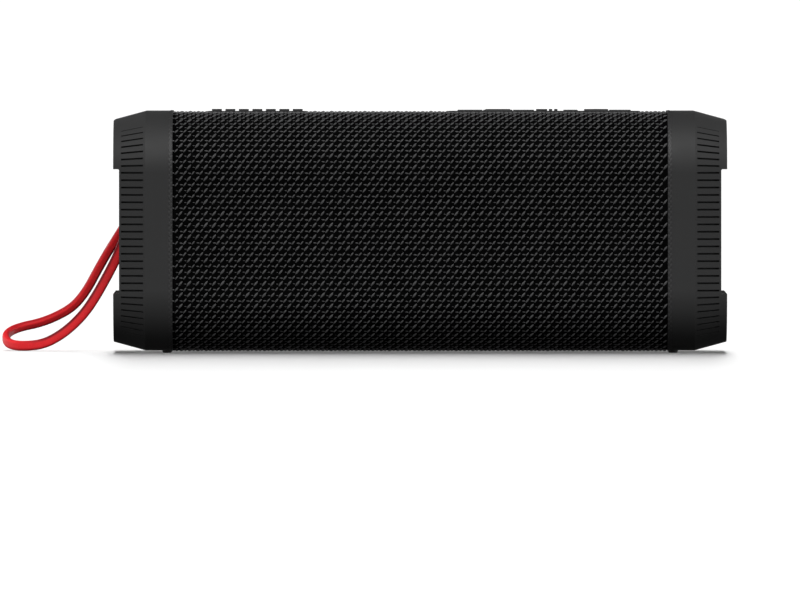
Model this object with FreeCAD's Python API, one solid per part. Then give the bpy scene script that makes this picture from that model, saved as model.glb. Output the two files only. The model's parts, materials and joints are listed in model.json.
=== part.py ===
import FreeCAD, Part
import math
import os

# Portable shower speaker: a fabric-wrapped housing between two ribbed end caps, with a wrist
# strap at its left end. Millimetres. +X runs along the body to the right, -Y is the front, +Z is
# up, and the origin is on the table under the body's centre.

V = FreeCAD.Vector
SOLID, RULED = True, True
RIGHT, BACK, UP = V(1, 0, 0), V(0, 1, 0), V(0, 0, 1)

# --- Body ------------------------------------------------------------------------------------------
LENGTH = 186.0
DEPTH = 70.0
HEIGHT = 72.5
CORNER_RADIUS = 18.0
FOOT_HEIGHT = 0.8
HALF_DEPTH = DEPTH / 2
HALF_HEIGHT = HEIGHT / 2
AXIS_Z = FOOT_HEIGHT + HALF_HEIGHT
TOP_Z = FOOT_HEIGHT + HEIGHT
FLAT_Y = HALF_DEPTH - CORNER_RADIUS
FLAT_Z = HALF_HEIGHT - CORNER_RADIUS

# --- Stations along X, the same on both sides ------------------------------------------------------
SEAM_X = 75.1
TAPER_X = 83.3
LIP_X = LENGTH / 2
LIP_DEPTH = 1.8
FACE_X = LIP_X - LIP_DEPTH
TAPER_SLOPE = 0.272
TUBE_END_X = 81.0
GASKET = 1.0
PLATE_X = TUBE_END_X + GASKET
PLATE = 3.0
PLATE_FACE_X = PLATE_X + PLATE

# --- Walls, as insets from the skin ----------------------------------------------------------------
FABRIC = 1.2
WALL_IN = 4.2
CAP_WALL = 1.9
COLLAR_INSET = 2.1
PLATE_INSET = 2.6
GAP = 0.2
FABRIC_GAP = 0.05
END_WALL = 2.2

# --- End cap details -------------------------------------------------------------------------------
LIP_FILLET = 0.3
WINDOW_HALF = 18.9
WINDOW_FILLET = 0.4
RIB_COUNT = 114
GROOVE_WIDTH = 0.55
GROOVE_DEPTH = 0.7
GROOVE_START_X = 83.9
GROOVE_END_X = 90.6
GROOVE_FADE = (0.60, 0.90)
MOUTH_RADIUS = 18.0
MOUTH_CHAMFER = 0.4
SKIRT_RADIUS = 20.5
SKIRT_WALL = 1.7
FOOT_X = 75.3
FOOT_WIDTH = 3.0
FOOT_HALF_LENGTH = 14.0
FOOT_SOCKET = 0.8

# --- Housing ---------------------------------------------------------------------------------------
SPLIT_Y = 12.0
WINDOW_X = 70.2
WINDOW_Z = 24.0
BAFFLE_FRONT_Y = -28.0
BAFFLE = 2.5
GRILLE = 1.6
TOWER_X, TOWER_Z, TOWER_RADIUS = 66.0, 12.0, 3.0
TOWER_HEAD_Y = HALF_DEPTH - 8.0
BOSS_Y, BOSS_Z, BOSS_RADIUS = 22.5, 24.0, 3.2
BOSS_LENGTH = 11.0
TOWER_CLEAR, TOWER_PILOT, TOWER_HEAD_CLEAR = 1.35, 1.05, 2.7
BOSS_CLEAR, BOSS_PILOT = 1.35, 1.3
SEAL_WIDTH, SEAL_DEPTH = 1.0, 0.5
GRILLE_PITCH, GRILLE_HOLE = 5.2, 1.7
GRILLE_ROWS, GRILLE_COLUMNS = 3, 12

# --- Drivers and radiators -------------------------------------------------------------------------
DRIVER_X = 38.0
DRIVER_RADIUS = 22.0
FLANGE = 1.2
DRIVER_GASKET = 0.5
DRIVER_FRONT_Y = BAFFLE_FRONT_Y - DRIVER_GASKET - FLANGE
DRIVER_HOLE = 19.5
DRIVER_SCREW_CIRCLE = 20.4
DRIVER_CLEAR, DRIVER_PILOT = 1.1, 0.95
RADIATOR_HOLE = 17.0
RADIATOR_RADIUS = 20.2
RADIATOR_FRAME = 1.6

# --- Keys and relief on the top --------------------------------------------------------------------
KEY_LOW = 0.36
KEY_HIGH = 0.6
KEY_HALF_DEPTH = 4.0
KEY_CLEARANCE = 0.2
KEY_FLANGE_TOP = TOP_Z - 2.25
KEY_FLANGE = 0.8
KEY_FLANGE_REACH = 1.0
ENGRAVING = 0.15
FRAME_BOTTOM = TOP_Z - 2.2
FRAME_SPAN = (8.6, 66.9)
FRAME_HALF_DEPTH = 8.5
KEY_SPANS = {
    "power": (11.4, 19.0),
    "volume_down": (19.2, 28.1),
    "pairing": (28.3, 34.7),
    "play": (35.05, 42.0),
    "link": (43.6, 47.95),
    "volume_up": (49.85, 57.3),
    "sound": (57.5, 64.1),
}
KEY_WINDOWS = (("power", "play"), ("link", "link"), ("volume_up", "sound"))
KEY_BAR_HALF = 0.6
KEY_BOARD_TOP = 66.9
KEY_BOARD = 1.6
KEY_BOARD_BOSS, KEY_BOARD_PILOT, KEY_BOARD_CLEAR = 1.8, 0.65, 0.85
RELIEF_START = -63.3
RELIEF_BARS = 7
RELIEF_BAR = 3.0
RELIEF_PITCH = 4.1
RELIEF_HALF_DEPTH = 2.6
RELIEF_MARGIN = 1.2

# --- Rear port -------------------------------------------------------------------------------------
DOOR_HALF_LENGTH = 18.0
DOOR_HALF_HEIGHT = 6.5
DOOR = 1.8
DOOR_CORNER = 2.0
DOOR_GAP = 0.2
RIM = 1.5
HINGE_X = -DOOR_HALF_LENGTH + DOOR / 2
HINGE_Y = HALF_DEPTH - DOOR / 2
HINGE_RIM_DROP = 1.0
PIN_RADIUS = 0.4
BAY = (-15.5, 16.5)
BAY_HALF_HEIGHT = 5.4
BAY_FLOOR_Y = 26.2
BAY_WALL = 1.5
SOCKET_FACE_Y = 27.0
PORT_BOARD_Y = 18.5
BOARD = 1.6
USB_X, AUX_X = -6.0, 8.0
PORT_POST, PORT_PILOT, PORT_CLEAR = 2.0, 0.75, 0.9

# --- Battery and boards ----------------------------------------------------------------------------
CELL_RADIUS, CELL_HALF_LENGTH = 9.2, 32.5
CELL_YS = (1.5, 20.5)
CELL_Z = AXIS_Z - 21.0
MAIN_BOARD_Z = AXIS_Z + 20.0
MAIN_BOARD_HALF_LENGTH = 42.0
MAIN_BOARD_YS = (-13.0, 12.4)
MAIN_BOARD_SCREW_X = 39.0
MAIN_BOARD_SCREW_YS = (-10.2, 9.3)
MAIN_BOARD_BOSS, MAIN_BOARD_PILOT, MAIN_BOARD_CLEAR = 2.4, 0.95, 1.2

# --- Wrist strap -----------------------------------------------------------------------------------
STRAP = 2.6
STRAP_SOCKET_RADIUS = 1.45
STRAP_FACE_Z = AXIS_Z + 4.0
ANCHOR_X = (-90.6, -85.1)
ANCHOR_Y = (22.7, 31.2)
ANCHOR_Z = (AXIS_Z - 15.0, AXIS_Z + 11.0)
ANCHOR_WALL = 0.9
STRAP_ROUTE = (
    (-87.4, 28.6, 43.9),
    (-89.5, 28.6, 39.3),
    (-92.4, 28.9, 34.6),
    (-95.6, 29.6, 29.5),
    (-98.7, 30.5, 24.0),
    (-101.8, 31.5, 18.2),
    (-105.8, 32.5, 13.2),
    (-111.2, 33.3, 10.1),
    (-116.5, 33.7, 8.1),
    (-121.5, 33.2, 7.1),
    (-125.5, 30.0, 5.8),
    (-127.2, 24.4, 4.0),
    (-125.7, 18.9, 1.9),
    (-121.0, 15.1, 1.4),
    (-115.0, 14.5, 2.0),
    (-110.0, 15.6, 4.5),
    (-105.6, 16.8, 8.0),
    (-102.0, 18.5, 11.9),
    (-99.0, 20.6, 16.4),
    (-96.4, 22.8, 21.0),
    (-93.8, 24.5, 25.9),
    (-91.4, 25.2, 31.0),
    (-89.8, 25.3, 35.7),
    (-88.7, 25.2, 40.2),
    (-87.6, 25.2, 44.2),
)


# --- Small tools -----------------------------------------------------------------------------------
def about(middle, reach):
    """The two values that lie a reach to either side of a middle."""
    return middle - reach, middle + reach


def block(xs, ys, zs):
    """A box between two values on each axis."""
    low = V(min(xs), min(ys), min(zs))
    size = V(max(xs), max(ys), max(zs)) - low
    return Part.makeBox(size.x, size.y, size.z, low)


def rounded_block(xs, ys, zs, radius, axis):
    """A box whose edges along axis are rounded."""
    box = block(xs, ys, zs)
    upright = [e for e in box.Edges if abs(e.tangentAt(0).dot(axis)) > 0.99]
    return box.makeFillet(radius, upright)


def rod(radius, start, end):
    """A round bar from one point to another."""
    return Part.makeCylinder(radius, (end - start).Length, start, end - start)


def joined(shapes):
    """One clean solid from several that meet."""
    first, *rest = shapes
    return first.fuse(rest).removeSplitter()


def mirrored(shape):
    """The same shape on the other side of the middle."""
    return shape.mirror(V(0, 0, 0), RIGHT)


def section_wire(x, inset):
    """The body's rounded outline at x, drawn in from the skin."""
    radius = CORNER_RADIUS - inset
    arcs = []
    for quarter, (cy, cz) in enumerate(((1, 1), (-1, 1), (-1, -1), (1, -1))):
        points = []
        for share in (0, 0.5, 1):
            angle = (quarter + share) * math.pi / 2
            y = cy * FLAT_Y + radius * math.cos(angle)
            z = cz * FLAT_Z + radius * math.sin(angle)
            points.append(V(x, y, AXIS_Z + z))
        arcs.append(points)
    edges = []
    for arc, following in zip(arcs, arcs[1:] + arcs[:1]):
        edges.append(Part.Arc(*arc).toShape())
        edges.append(Part.LineSegment(arc[2], following[0]).toShape())
    return Part.Wire(edges)


def prism(x0, x1, inset):
    """A solid bar of the body's section."""
    return Part.Face(section_wire(x0, inset)).extrude(V(x1 - x0, 0, 0))


def taper(x0, x1, inset):
    """The end's cone, which starts at x0 with this inset and closes in along the slope."""
    reach = (x1 - x0) * TAPER_SLOPE
    return Part.makeLoft([section_wire(x0, inset), section_wire(x1, inset + reach)], SOLID, RULED)


def turned(outline, origin, direction):
    """A solid of revolution. The outline holds (radius, along) points, and (middle, end) pairs
    of points where it follows an arc."""
    here = V(outline[0][0], 0, outline[0][1])
    first = here
    edges = []
    for step in outline[1:]:
        if isinstance(step[0], tuple):
            middle, end = (V(p[0], 0, p[1]) for p in step)
            edges.append(Part.Arc(here, middle, end).toShape())
        else:
            end = V(step[0], 0, step[1])
            edges.append(Part.LineSegment(here, end).toShape())
        here = end
    edges.append(Part.LineSegment(here, first).toShape())
    solid = Part.Face(Part.Wire(edges)).revolve(V(0, 0, 0), UP, 360)
    solid.Placement = FreeCAD.Placement(origin, FreeCAD.Rotation(UP, direction))
    return solid


def ring(inner, outer, start, length, origin, direction):
    """A flat or tubular ring about an axis."""
    outline = ((inner, start), (outer, start), (outer, start + length), (inner, start + length))
    return turned(outline, origin, direction)


def screw(head_at, direction, shank_radius, shank_length, head_radius, head_height):
    """A pan-head screw with a cross recess. head_at is under its head."""
    shank = Part.makeCylinder(shank_radius, shank_length, head_at, direction)
    head = Part.makeCylinder(head_radius, head_height, head_at, direction * -1)
    body = shank.fuse(head)
    width, depth = head_radius * 0.28, head_height * 0.55
    blade = Part.makeBox(head_radius * 1.3, width, depth, V(-head_radius * 0.65, -width / 2, -depth))
    cross = blade.fuse(blade.copy().rotate(V(0, 0, 0), UP, 90))
    cross.Placement = FreeCAD.Placement(
        head_at - direction * head_height, FreeCAD.Rotation(UP, direction * -1)
    )
    return body.cut(cross).removeSplitter()


# --- End caps --------------------------------------------------------------------------------------
def perimeter_place(distance):
    """(y, z, angle of the outward normal) at a distance round the skin from the front's middle."""
    quarter_arc = math.pi * CORNER_RADIUS / 2
    stretches = (
        (FLAT_Z, "flat", -1, 0), (quarter_arc, "arc", -1, 1), (2 * FLAT_Y, "flat", 0, 1),
        (quarter_arc, "arc", 1, 1), (2 * FLAT_Z, "flat", 1, 0), (quarter_arc, "arc", 1, -1),
        (2 * FLAT_Y, "flat", 0, -1), (quarter_arc, "arc", -1, -1), (FLAT_Z, "flat", -1, 0),
    )
    y, z, angle = -HALF_DEPTH, 0.0, math.pi
    for length, form, cy, cz in stretches:
        step = min(distance, length)
        if form == "flat":
            y += step * math.sin(angle)
            z -= step * math.cos(angle)
        else:
            angle -= step / CORNER_RADIUS
            y = cy * FLAT_Y + CORNER_RADIUS * math.cos(angle)
            z = cz * FLAT_Z + CORNER_RADIUS * math.sin(angle)
        distance -= step
        if distance <= 0:
            break
    return y, z, angle


def grooves():
    """Every groove between the ribs of the right end cap. They are full on the front and back,
    and fade out round the corners as the skin turns away from the mould's pull."""
    perimeter = 4 * (FLAT_Y + FLAT_Z) + 2 * math.pi * CORNER_RADIUS
    lean = math.atan(TAPER_SLOPE)
    start = (GROOVE_START_X - TAPER_X) / math.cos(lean)
    length = (GROOVE_END_X - GROOVE_START_X) / math.cos(lean)
    gone, full = GROOVE_FADE
    cutters = []
    for rib in range(RIB_COUNT):
        y, z, angle = perimeter_place(rib * perimeter / RIB_COUNT)
        out_y, out_z = math.cos(angle), math.sin(angle)
        depth = GROOVE_DEPTH * min(1, (abs(out_y) - gone) / (full - gone))
        if depth < 0.05:
            continue
        sink, rise = math.sin(lean), math.cos(lean)
        along = (rise, -sink * out_y, -sink * out_z)
        across = (0, out_z, -out_y)
        outward = (sink, rise * out_y, rise * out_z)
        rows = [value for row in zip(along, across, outward, (TAPER_X, y, AXIS_Z + z)) for value in row]
        cutter = Part.makeBox(length, GROOVE_WIDTH, depth + 1, V(start, -GROOVE_WIDTH / 2, -depth))
        cutter.Placement = FreeCAD.Placement(FreeCAD.Matrix(*rows, 0, 0, 0, 1))
        cutters.append(cutter)
    return cutters


def foot_strip(grow, z0, z1):
    """The right foot's body, or with grow its socket."""
    xs = (FOOT_X - grow, FOOT_X + FOOT_WIDTH + grow)
    ys = (-FOOT_HALF_LENGTH - grow, FOOT_HALF_LENGTH + grow)
    return rounded_block(xs, ys, (z0, z1), FOOT_WIDTH / 2 - 0.05, UP)


def end_cap():
    """The right end cap: a ribbed, tapered shell with a round mouth and two proud bumpers."""
    inner_end = FACE_X - END_WALL
    cone = taper(TAPER_X, LIP_X, 0)
    rim = [e for e in cone.Edges if e.BoundBox.XMin > LIP_X - 1e-3]
    outside = prism(SEAM_X, TAPER_X, 0).fuse(cone.makeFillet(LIP_FILLET, rim))
    hollow = prism(SEAM_X - 1, TAPER_X, CAP_WALL).fuse(taper(TAPER_X, inner_end, CAP_WALL))
    shell = outside.cut(hollow)
    window = rounded_block(
        (FACE_X, LIP_X + 5), about(0, HALF_DEPTH),
        about(AXIS_Z, WINDOW_HALF), WINDOW_FILLET, BACK,
    )
    axis_at = V(0, 0, AXIS_Z)
    mouth = Part.makeCylinder(MOUTH_RADIUS, LIP_X, axis_at, RIGHT)
    bevel = Part.makeCone(
        MOUTH_RADIUS, MOUTH_RADIUS + MOUTH_CHAMFER, MOUTH_CHAMFER,
        V(FACE_X - MOUTH_CHAMFER, 0, AXIS_Z), RIGHT,
    )
    skirt_start = PLATE_FACE_X + 0.1
    skirt = ring(
        SKIRT_RADIUS, SKIRT_RADIUS + SKIRT_WALL, skirt_start, inner_end + 0.5 - skirt_start,
        axis_at, RIGHT,
    )
    shell = shell.fuse(skirt).cut([window, mouth, bevel])
    socket = foot_strip(0.05, FOOT_HEIGHT - 1, FOOT_HEIGHT + FOOT_SOCKET)
    return shell.cut(grooves() + [socket]).removeSplitter()


def strap_slot(grow):
    """The slot in the left end face that the strap's anchor sits in."""
    ys = (ANCHOR_Y[0] + ANCHOR_WALL - grow, ANCHOR_Y[1] - ANCHOR_WALL + grow)
    zs = (ANCHOR_Z[0] + ANCHOR_WALL - grow, ANCHOR_Z[1] - ANCHOR_WALL + grow)
    return rounded_block((-LIP_X - 1, -PLATE_FACE_X), ys, zs, 1.5, RIGHT)


def foot():
    """The right foot, a rubber strip with sloping sides under the table line of the cap."""
    strip = foot_strip(0, 0, FOOT_HEIGHT + FOOT_SOCKET)
    lowest = [e for e in strip.Edges if abs(e.BoundBox.ZMax) < 1e-6]
    return strip.makeChamfer(0.35, lowest)


def end_plate():
    """The plate that closes the right end of the housing and carries the radiator."""
    plate = prism(PLATE_X, PLATE_FACE_X, PLATE_INSET)
    hole = Part.makeCylinder(RADIATOR_HOLE, LENGTH, V(0, 0, AXIS_Z), RIGHT)
    screws = [rod(BOSS_CLEAR, V(PLATE_X - 1, y, z), V(LIP_X, y, z)) for y, z in boss_places()]
    return plate.cut([hole] + screws)


def end_gasket():
    """The soft ring between the housing and the right end plate."""
    return prism(TUBE_END_X, PLATE_X, PLATE_INSET).cut(prism(TUBE_END_X, PLATE_X, WALL_IN - 0.1))


def boss_places():
    return [(sy * BOSS_Y, AXIS_Z + sz * BOSS_Z) for sy in (-1, 1) for sz in (-1, 1)]


def end_screws():
    """The screws through both end plates into the housing's corner bosses."""
    found = []
    for y, z in boss_places():
        one = screw(V(PLATE_FACE_X, y, z), V(-1, 0, 0), 1.25, 12.0, 2.3, 1.5)
        found += [one, mirrored(one)]
    return Part.makeCompound(found)


# --- Housing ---------------------------------------------------------------------------------------
def housing_tube():
    """The whole housing as one tube, before it is split: full under the fabric, stepped in
    where the end caps slide over it."""
    middle = prism(-SEAM_X, SEAM_X, FABRIC)
    collars = prism(-TUBE_END_X, TUBE_END_X, COLLAR_INSET)
    return middle.fuse(collars).cut(prism(-TUBE_END_X - 1, TUBE_END_X + 1, WALL_IN))


def corner_bosses():
    """The bosses at both ends of the tube, with pilot holes."""
    bosses, holes = [], []
    for side in (-1, 1):
        for y, z in boss_places():
            start, end = V(side * (TUBE_END_X - BOSS_LENGTH), y, z), V(side * TUBE_END_X, y, z)
            web_z = AXIS_Z + math.copysign(HALF_HEIGHT - WALL_IN + 0.6, z - AXIS_Z)
            bosses.append(rod(BOSS_RADIUS, start, end))
            bosses.append(block((start.x, end.x), (y - 1, y + 1), (z, web_z)))
            holes.append(rod(BOSS_PILOT, start + V(side * 1.5, 0, 0), end + V(side, 0, 0)))
    return bosses, holes


def tower_places():
    return [(sx * TOWER_X, AXIS_Z + sz * TOWER_Z) for sx in (-1, 1) for sz in (-1, 1)]


def frame_block(grow, z_low, z_high):
    """The key frame's rounded outline as a block, grown on every side."""
    xs = (FRAME_SPAN[0] - grow, FRAME_SPAN[1] + grow)
    return rounded_block(xs, about(0, FRAME_HALF_DEPTH + grow), (z_low, z_high), 3.0 + grow, UP)


def key_wells():
    """Openings in the housing's top wall: the pocket that the key frame sits in, and the well
    under it that the keys' flanges move in."""
    well = block((10.4, 65.1), (-6.6, 6.6), (TOP_Z - 6, TOP_Z))
    return [frame_block(0, FRAME_BOTTOM, TOP_Z), well]


def upright_rods(places, radius, z_low, z_high):
    """Bosses or holes along Z at these (x, y) places."""
    return [rod(radius, V(x, y, z_low), V(x, y, z_high)) for x, y in places]


def level_rods(places, radius, y_low, y_high):
    """Bosses or holes along Y at these (x, z) places."""
    return [rod(radius, V(x, y_low, z), V(x, y_high, z)) for x, z in places]


def main_board_screw_places():
    return [(sx * MAIN_BOARD_SCREW_X, y) for sx in (-1, 1) for y in MAIN_BOARD_SCREW_YS]


def key_board_screw_places():
    return [(x, y) for x in (8.2, 67.4) for y in (-4.6, 4.6)]


def front_housing():
    """The front part of the housing, with the sunk baffle that the drivers are screwed to."""
    ceiling = TOP_Z - WALL_IN
    shell = housing_tube().common(block(about(0, LENGTH), (-DEPTH, SPLIT_Y), (-1, HEIGHT + 10)))
    window = block(about(0, WINDOW_X), (-DEPTH, -20), about(AXIS_Z, WINDOW_Z))
    shell = shell.cut(window)
    inside = prism(-TUBE_END_X, TUBE_END_X, WALL_IN - 0.6)
    baffle_ys = (BAFFLE_FRONT_Y, BAFFLE_FRONT_Y + BAFFLE)
    reach = WINDOW_X + BAFFLE
    baffle = inside.common(block(about(0, reach), baffle_ys, (0, HEIGHT + 10)))
    skin_inside = prism(-TUBE_END_X, TUBE_END_X, COLLAR_INSET)
    cheeks = []
    for side in (-1, 1):
        slab = block((side * WINDOW_X, side * reach), (-DEPTH, baffle_ys[1]), (0, HEIGHT + 10))
        cheeks.append(skin_inside.common(slab))
    bosses, holes = corner_bosses()
    front_bosses = [b for b in bosses if b.CenterOfMass.y < 0]
    towers = level_rods(tower_places(), TOWER_RADIUS, baffle_ys[0] + 1, SPLIT_Y)
    into_wall = ceiling + 0.5
    boards = upright_rods(main_board_screw_places(), MAIN_BOARD_BOSS, MAIN_BOARD_Z + BOARD, into_wall)
    boards += upright_rods(key_board_screw_places(), KEY_BOARD_BOSS, KEY_BOARD_TOP, into_wall)
    body = joined([shell, baffle] + cheeks + front_bosses + towers + boards)
    cuts = [h for h in holes if h.CenterOfMass.y < 0]
    cuts += key_wells()
    cuts += level_rods(tower_places(), TOWER_PILOT, 2, SPLIT_Y + 1)
    cuts += upright_rods(main_board_screw_places(), MAIN_BOARD_PILOT, MAIN_BOARD_Z, MAIN_BOARD_Z + 8)
    cuts += upright_rods(key_board_screw_places(), KEY_BOARD_PILOT, KEY_BOARD_TOP - 1, ceiling + 1.5)
    for side in (-1, 1):
        front = V(side * DRIVER_X, -DEPTH, AXIS_Z)
        cuts.append(rod(DRIVER_HOLE, front, V(front.x, -20, front.z)))
    cuts += [rod(DRIVER_PILOT, p, p + V(0, BAFFLE + 2, 0)) for p in driver_screw_places()]
    cuts += [block(about(0, SEAM_X), (SPLIT_Y - SEAL_DEPTH, SPLIT_Y + 1), zs) for zs in seal_heights(0)]
    return body.cut(cuts).removeSplitter()


def rear_housing():
    """The rear part of the housing, with the port bay and the screw towers."""
    start = SPLIT_Y + 0.1
    shell = housing_tube().common(block(about(0, LENGTH), (start, DEPTH), (-1, HEIGHT + 10)))
    bosses, holes = corner_bosses()
    rear_bosses = [b for b in bosses if b.CenterOfMass.y > 0]
    wall_y = HALF_DEPTH - WALL_IN + 0.5
    towers = level_rods(tower_places(), TOWER_RADIUS, start, wall_y)
    rim_x = DOOR_HALF_LENGTH + DOOR_GAP + RIM
    rim_z = DOOR_HALF_HEIGHT + DOOR_GAP + RIM
    rim = rounded_block(about(0, rim_x), (wall_y - 1, HALF_DEPTH), about(AXIS_Z, rim_z), 4.5, BACK)
    tub_z = BAY_HALF_HEIGHT + BAY_WALL
    tub = block((BAY[0] - BAY_WALL, BAY[1] + BAY_WALL), (BAY_FLOOR_Y - BAY_WALL, wall_y),
                about(AXIS_Z, tub_z))
    posts = level_rods(port_board_screw_places(), PORT_POST, PORT_BOARD_Y + BOARD, BAY_FLOOR_Y)
    body = joined([shell] + rear_bosses + towers + [rim, tub] + posts)
    door_x = DOOR_HALF_LENGTH + DOOR_GAP
    door_z = DOOR_HALF_HEIGHT + DOOR_GAP
    seat_y = HALF_DEPTH - DOOR - 0.1
    door_zs = about(AXIS_Z, door_z)
    seat = rounded_block(about(0, door_x), (seat_y, DEPTH), door_zs, DOOR_CORNER + DOOR_GAP, BACK)
    hinge_seat = block((-door_x, 0), (seat_y, DEPTH), door_zs)
    hinge_relief = block((-rim_x - 1, 0), (HALF_DEPTH - HINGE_RIM_DROP, DEPTH), door_zs)
    finger_scoop = Part.makeSphere(4.0, V(door_x + 1.6, HALF_DEPTH + 2.6, AXIS_Z))
    bay = rounded_block(BAY, (BAY_FLOOR_Y, DEPTH), about(AXIS_Z, BAY_HALF_HEIGHT), 2.0, BACK)
    pin_hole = rod(PIN_RADIUS + 0.02, V(HINGE_X, HINGE_Y, AXIS_Z - door_z - 1.1),
                   V(HINGE_X, HINGE_Y, AXIS_Z + door_z + 1.1))
    usb_hole = rounded_block(about(USB_X, 4.7), (PORT_BOARD_Y, DEPTH), about(AXIS_Z, 1.85), 1.8, BACK)
    aux_hole = rod(3.05, V(AUX_X, PORT_BOARD_Y, AXIS_Z), V(AUX_X, DEPTH, AXIS_Z))
    cuts = [h for h in holes if h.CenterOfMass.y > 0]
    cuts += [seat, hinge_seat, hinge_relief, finger_scoop, bay, pin_hole, usb_hole, aux_hole]
    cuts += level_rods(tower_places(), TOWER_CLEAR, 0, DEPTH)
    cuts += level_rods(tower_places(), TOWER_HEAD_CLEAR, TOWER_HEAD_Y, DEPTH)
    cuts += level_rods(port_board_screw_places(), PORT_PILOT, PORT_BOARD_Y, BAY_FLOOR_Y - 0.6)
    return body.cut(cuts).removeSplitter()


def seal_heights(slack):
    """The heights that the seal's groove takes in the top and bottom walls, less some slack."""
    middle = HALF_HEIGHT - FABRIC - 1.5
    return [about(AXIS_Z + sign * middle, SEAL_WIDTH / 2 - slack) for sign in (-1, 1)]


def housing_seal():
    """The two strips that seal the joint between the housing's front and rear."""
    xs, ys = about(0, SEAM_X - 0.1), (SPLIT_Y - SEAL_DEPTH, SPLIT_Y + 0.1)
    return Part.makeCompound([block(xs, ys, zs) for zs in seal_heights(0.05)])


def housing_screws():
    """The four long screws that pull the rear housing onto the front one."""
    return Part.makeCompound([
        screw(V(x, TOWER_HEAD_Y, z), V(0, -1, 0), 1.0, 23.0, 2.4, 1.8) for x, z in tower_places()
    ])


def front_grille():
    """The perforated panel behind the fabric, curved with the body's front corners."""
    reach, height = WINDOW_X - GAP, WINDOW_Z - GAP
    band = block(about(0, reach), (-DEPTH, -20), about(AXIS_Z, height))
    panel = prism(-reach, reach, FABRIC).cut(prism(-reach, reach, FABRIC + GRILLE)).common(band)
    row_pitch = GRILLE_PITCH * math.sqrt(0.75)
    holes = []
    for row in range(-GRILLE_ROWS, GRILLE_ROWS + 1):
        shift = GRILLE_PITCH / 2 if row % 2 else 0
        for column in range(-GRILLE_COLUMNS, GRILLE_COLUMNS + 1):
            x = column * GRILLE_PITCH + shift
            z = AXIS_Z + row * row_pitch
            holes.append(rod(GRILLE_HOLE, V(x, -DEPTH, z), V(x, -20, z)))
    return panel.cut(holes)


def fabric_wrap():
    """The fabric sleeve, with its cut-outs for the keys, the relief strip and the port."""
    sleeve = prism(-SEAM_X, SEAM_X, 0).cut(prism(-SEAM_X, SEAM_X, FABRIC - FABRIC_GAP))
    keys = frame_block(0.1, TOP_Z - 2, TOP_Z + 1)
    span = relief_span()
    relief = rounded_block(
        (span[0] - 0.1, span[1] + 0.1), about(0, RELIEF_HALF_DEPTH + 1.1), (TOP_Z - 2, TOP_Z + 1), 1.6, UP
    )
    rim_x = DOOR_HALF_LENGTH + DOOR_GAP + RIM + 0.1
    rim_z = DOOR_HALF_HEIGHT + DOOR_GAP + RIM + 0.1
    port = rounded_block(about(0, rim_x), (20, DEPTH), about(AXIS_Z, rim_z), 4.6, BACK)
    return sleeve.cut([keys, relief, port])


# --- Top: relief strip and keys --------------------------------------------------------------------
def relief_span():
    length = (RELIEF_BARS - 1) * RELIEF_PITCH + RELIEF_BAR
    return RELIEF_START - RELIEF_MARGIN, RELIEF_START + length + RELIEF_MARGIN


def relief_strip():
    """A rubber strip let into the fabric, with a row of plain raised bars."""
    strip = rounded_block(relief_span(), (-RELIEF_HALF_DEPTH - 1, RELIEF_HALF_DEPTH + 1),
                          (TOP_Z - FABRIC, TOP_Z), 1.5, UP)
    bars = []
    for k in range(RELIEF_BARS):
        x = RELIEF_START + k * RELIEF_PITCH
        zs = (TOP_Z - 0.5, TOP_Z + KEY_HIGH)
        bars.append(rounded_block((x, x + RELIEF_BAR), about(0, RELIEF_HALF_DEPTH), zs, 0.4, UP))
    return joined([strip] + bars)


def key_frame():
    """The frame, flush with the fabric, that the keys come up through."""
    plate = frame_block(-0.05, FRAME_BOTTOM, TOP_Z)
    ys, zs = about(0, KEY_HALF_DEPTH + KEY_CLEARANCE), (TOP_Z - 5, TOP_Z + 1)
    windows = []
    for first, last in KEY_WINDOWS:
        xs = (KEY_SPANS[first][0] - KEY_CLEARANCE, KEY_SPANS[last][1] + KEY_CLEARANCE)
        windows.append(rounded_block(xs, ys, zs, 1.0, UP))
    return plate.cut(windows)


def key_cap(name, top):
    """A key: a cap that stands out of the frame, on a flange that the frame holds down."""
    x0, x1 = KEY_SPANS[name]
    cap = rounded_block((x0, x1), about(0, KEY_HALF_DEPTH), (KEY_FLANGE_TOP - 0.2, TOP_Z + top), 0.9, UP)
    crown = [e for e in cap.Edges if e.BoundBox.ZMin > TOP_Z + top - 1e-3]
    cap = cap.makeFillet(0.15, crown)
    xs = (x0 + 0.05, x1 - 0.05)
    ys = about(0, KEY_HALF_DEPTH + KEY_FLANGE_REACH)
    return cap, block(xs, ys, (KEY_FLANGE_TOP - KEY_FLANGE, KEY_FLANGE_TOP))


def raised(xs, y_half, base):
    """A bar that stands on a key, up to the height of the highest reliefs."""
    return block(xs, about(0, y_half), (TOP_Z + base - 0.2, TOP_Z + KEY_HIGH))


def engraved(shapes, top):
    """Moves flat icon shapes, made from z 0 up, to cut into a key's top."""
    found = []
    for shape in shapes:
        shape = shape.copy()
        shape.translate(V(0, 0, TOP_Z + top - ENGRAVING))
        found.append(shape)
    return found


def arc_band(centre, radius, width, start, sweep):
    """A flat curved band for an icon, about a point on a key's top."""
    band = ring(radius - width / 2, radius + width / 2, 0, 1, centre, UP)
    if sweep >= 360:
        return band
    wedge = Part.makeCylinder(radius * 2, 1, centre, UP, sweep)
    wedge.rotate(centre, UP, start)
    return band.common(wedge)


def power_key():
    cap, flange = key_cap("power", KEY_LOW)
    centre = V(15.2, 0, 0)
    icon = [arc_band(centre, 1.6, 0.4, 125, 290), block((15.0, 15.4), (0.4, 2.3), (0, 1))]
    return joined([cap, flange]).cut(engraved(icon, KEY_LOW))


def volume_down_key():
    cap, flange = key_cap("volume_down", KEY_LOW)
    return joined([cap, flange, raised((19.85, 27.4), KEY_BAR_HALF, KEY_LOW)])


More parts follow.
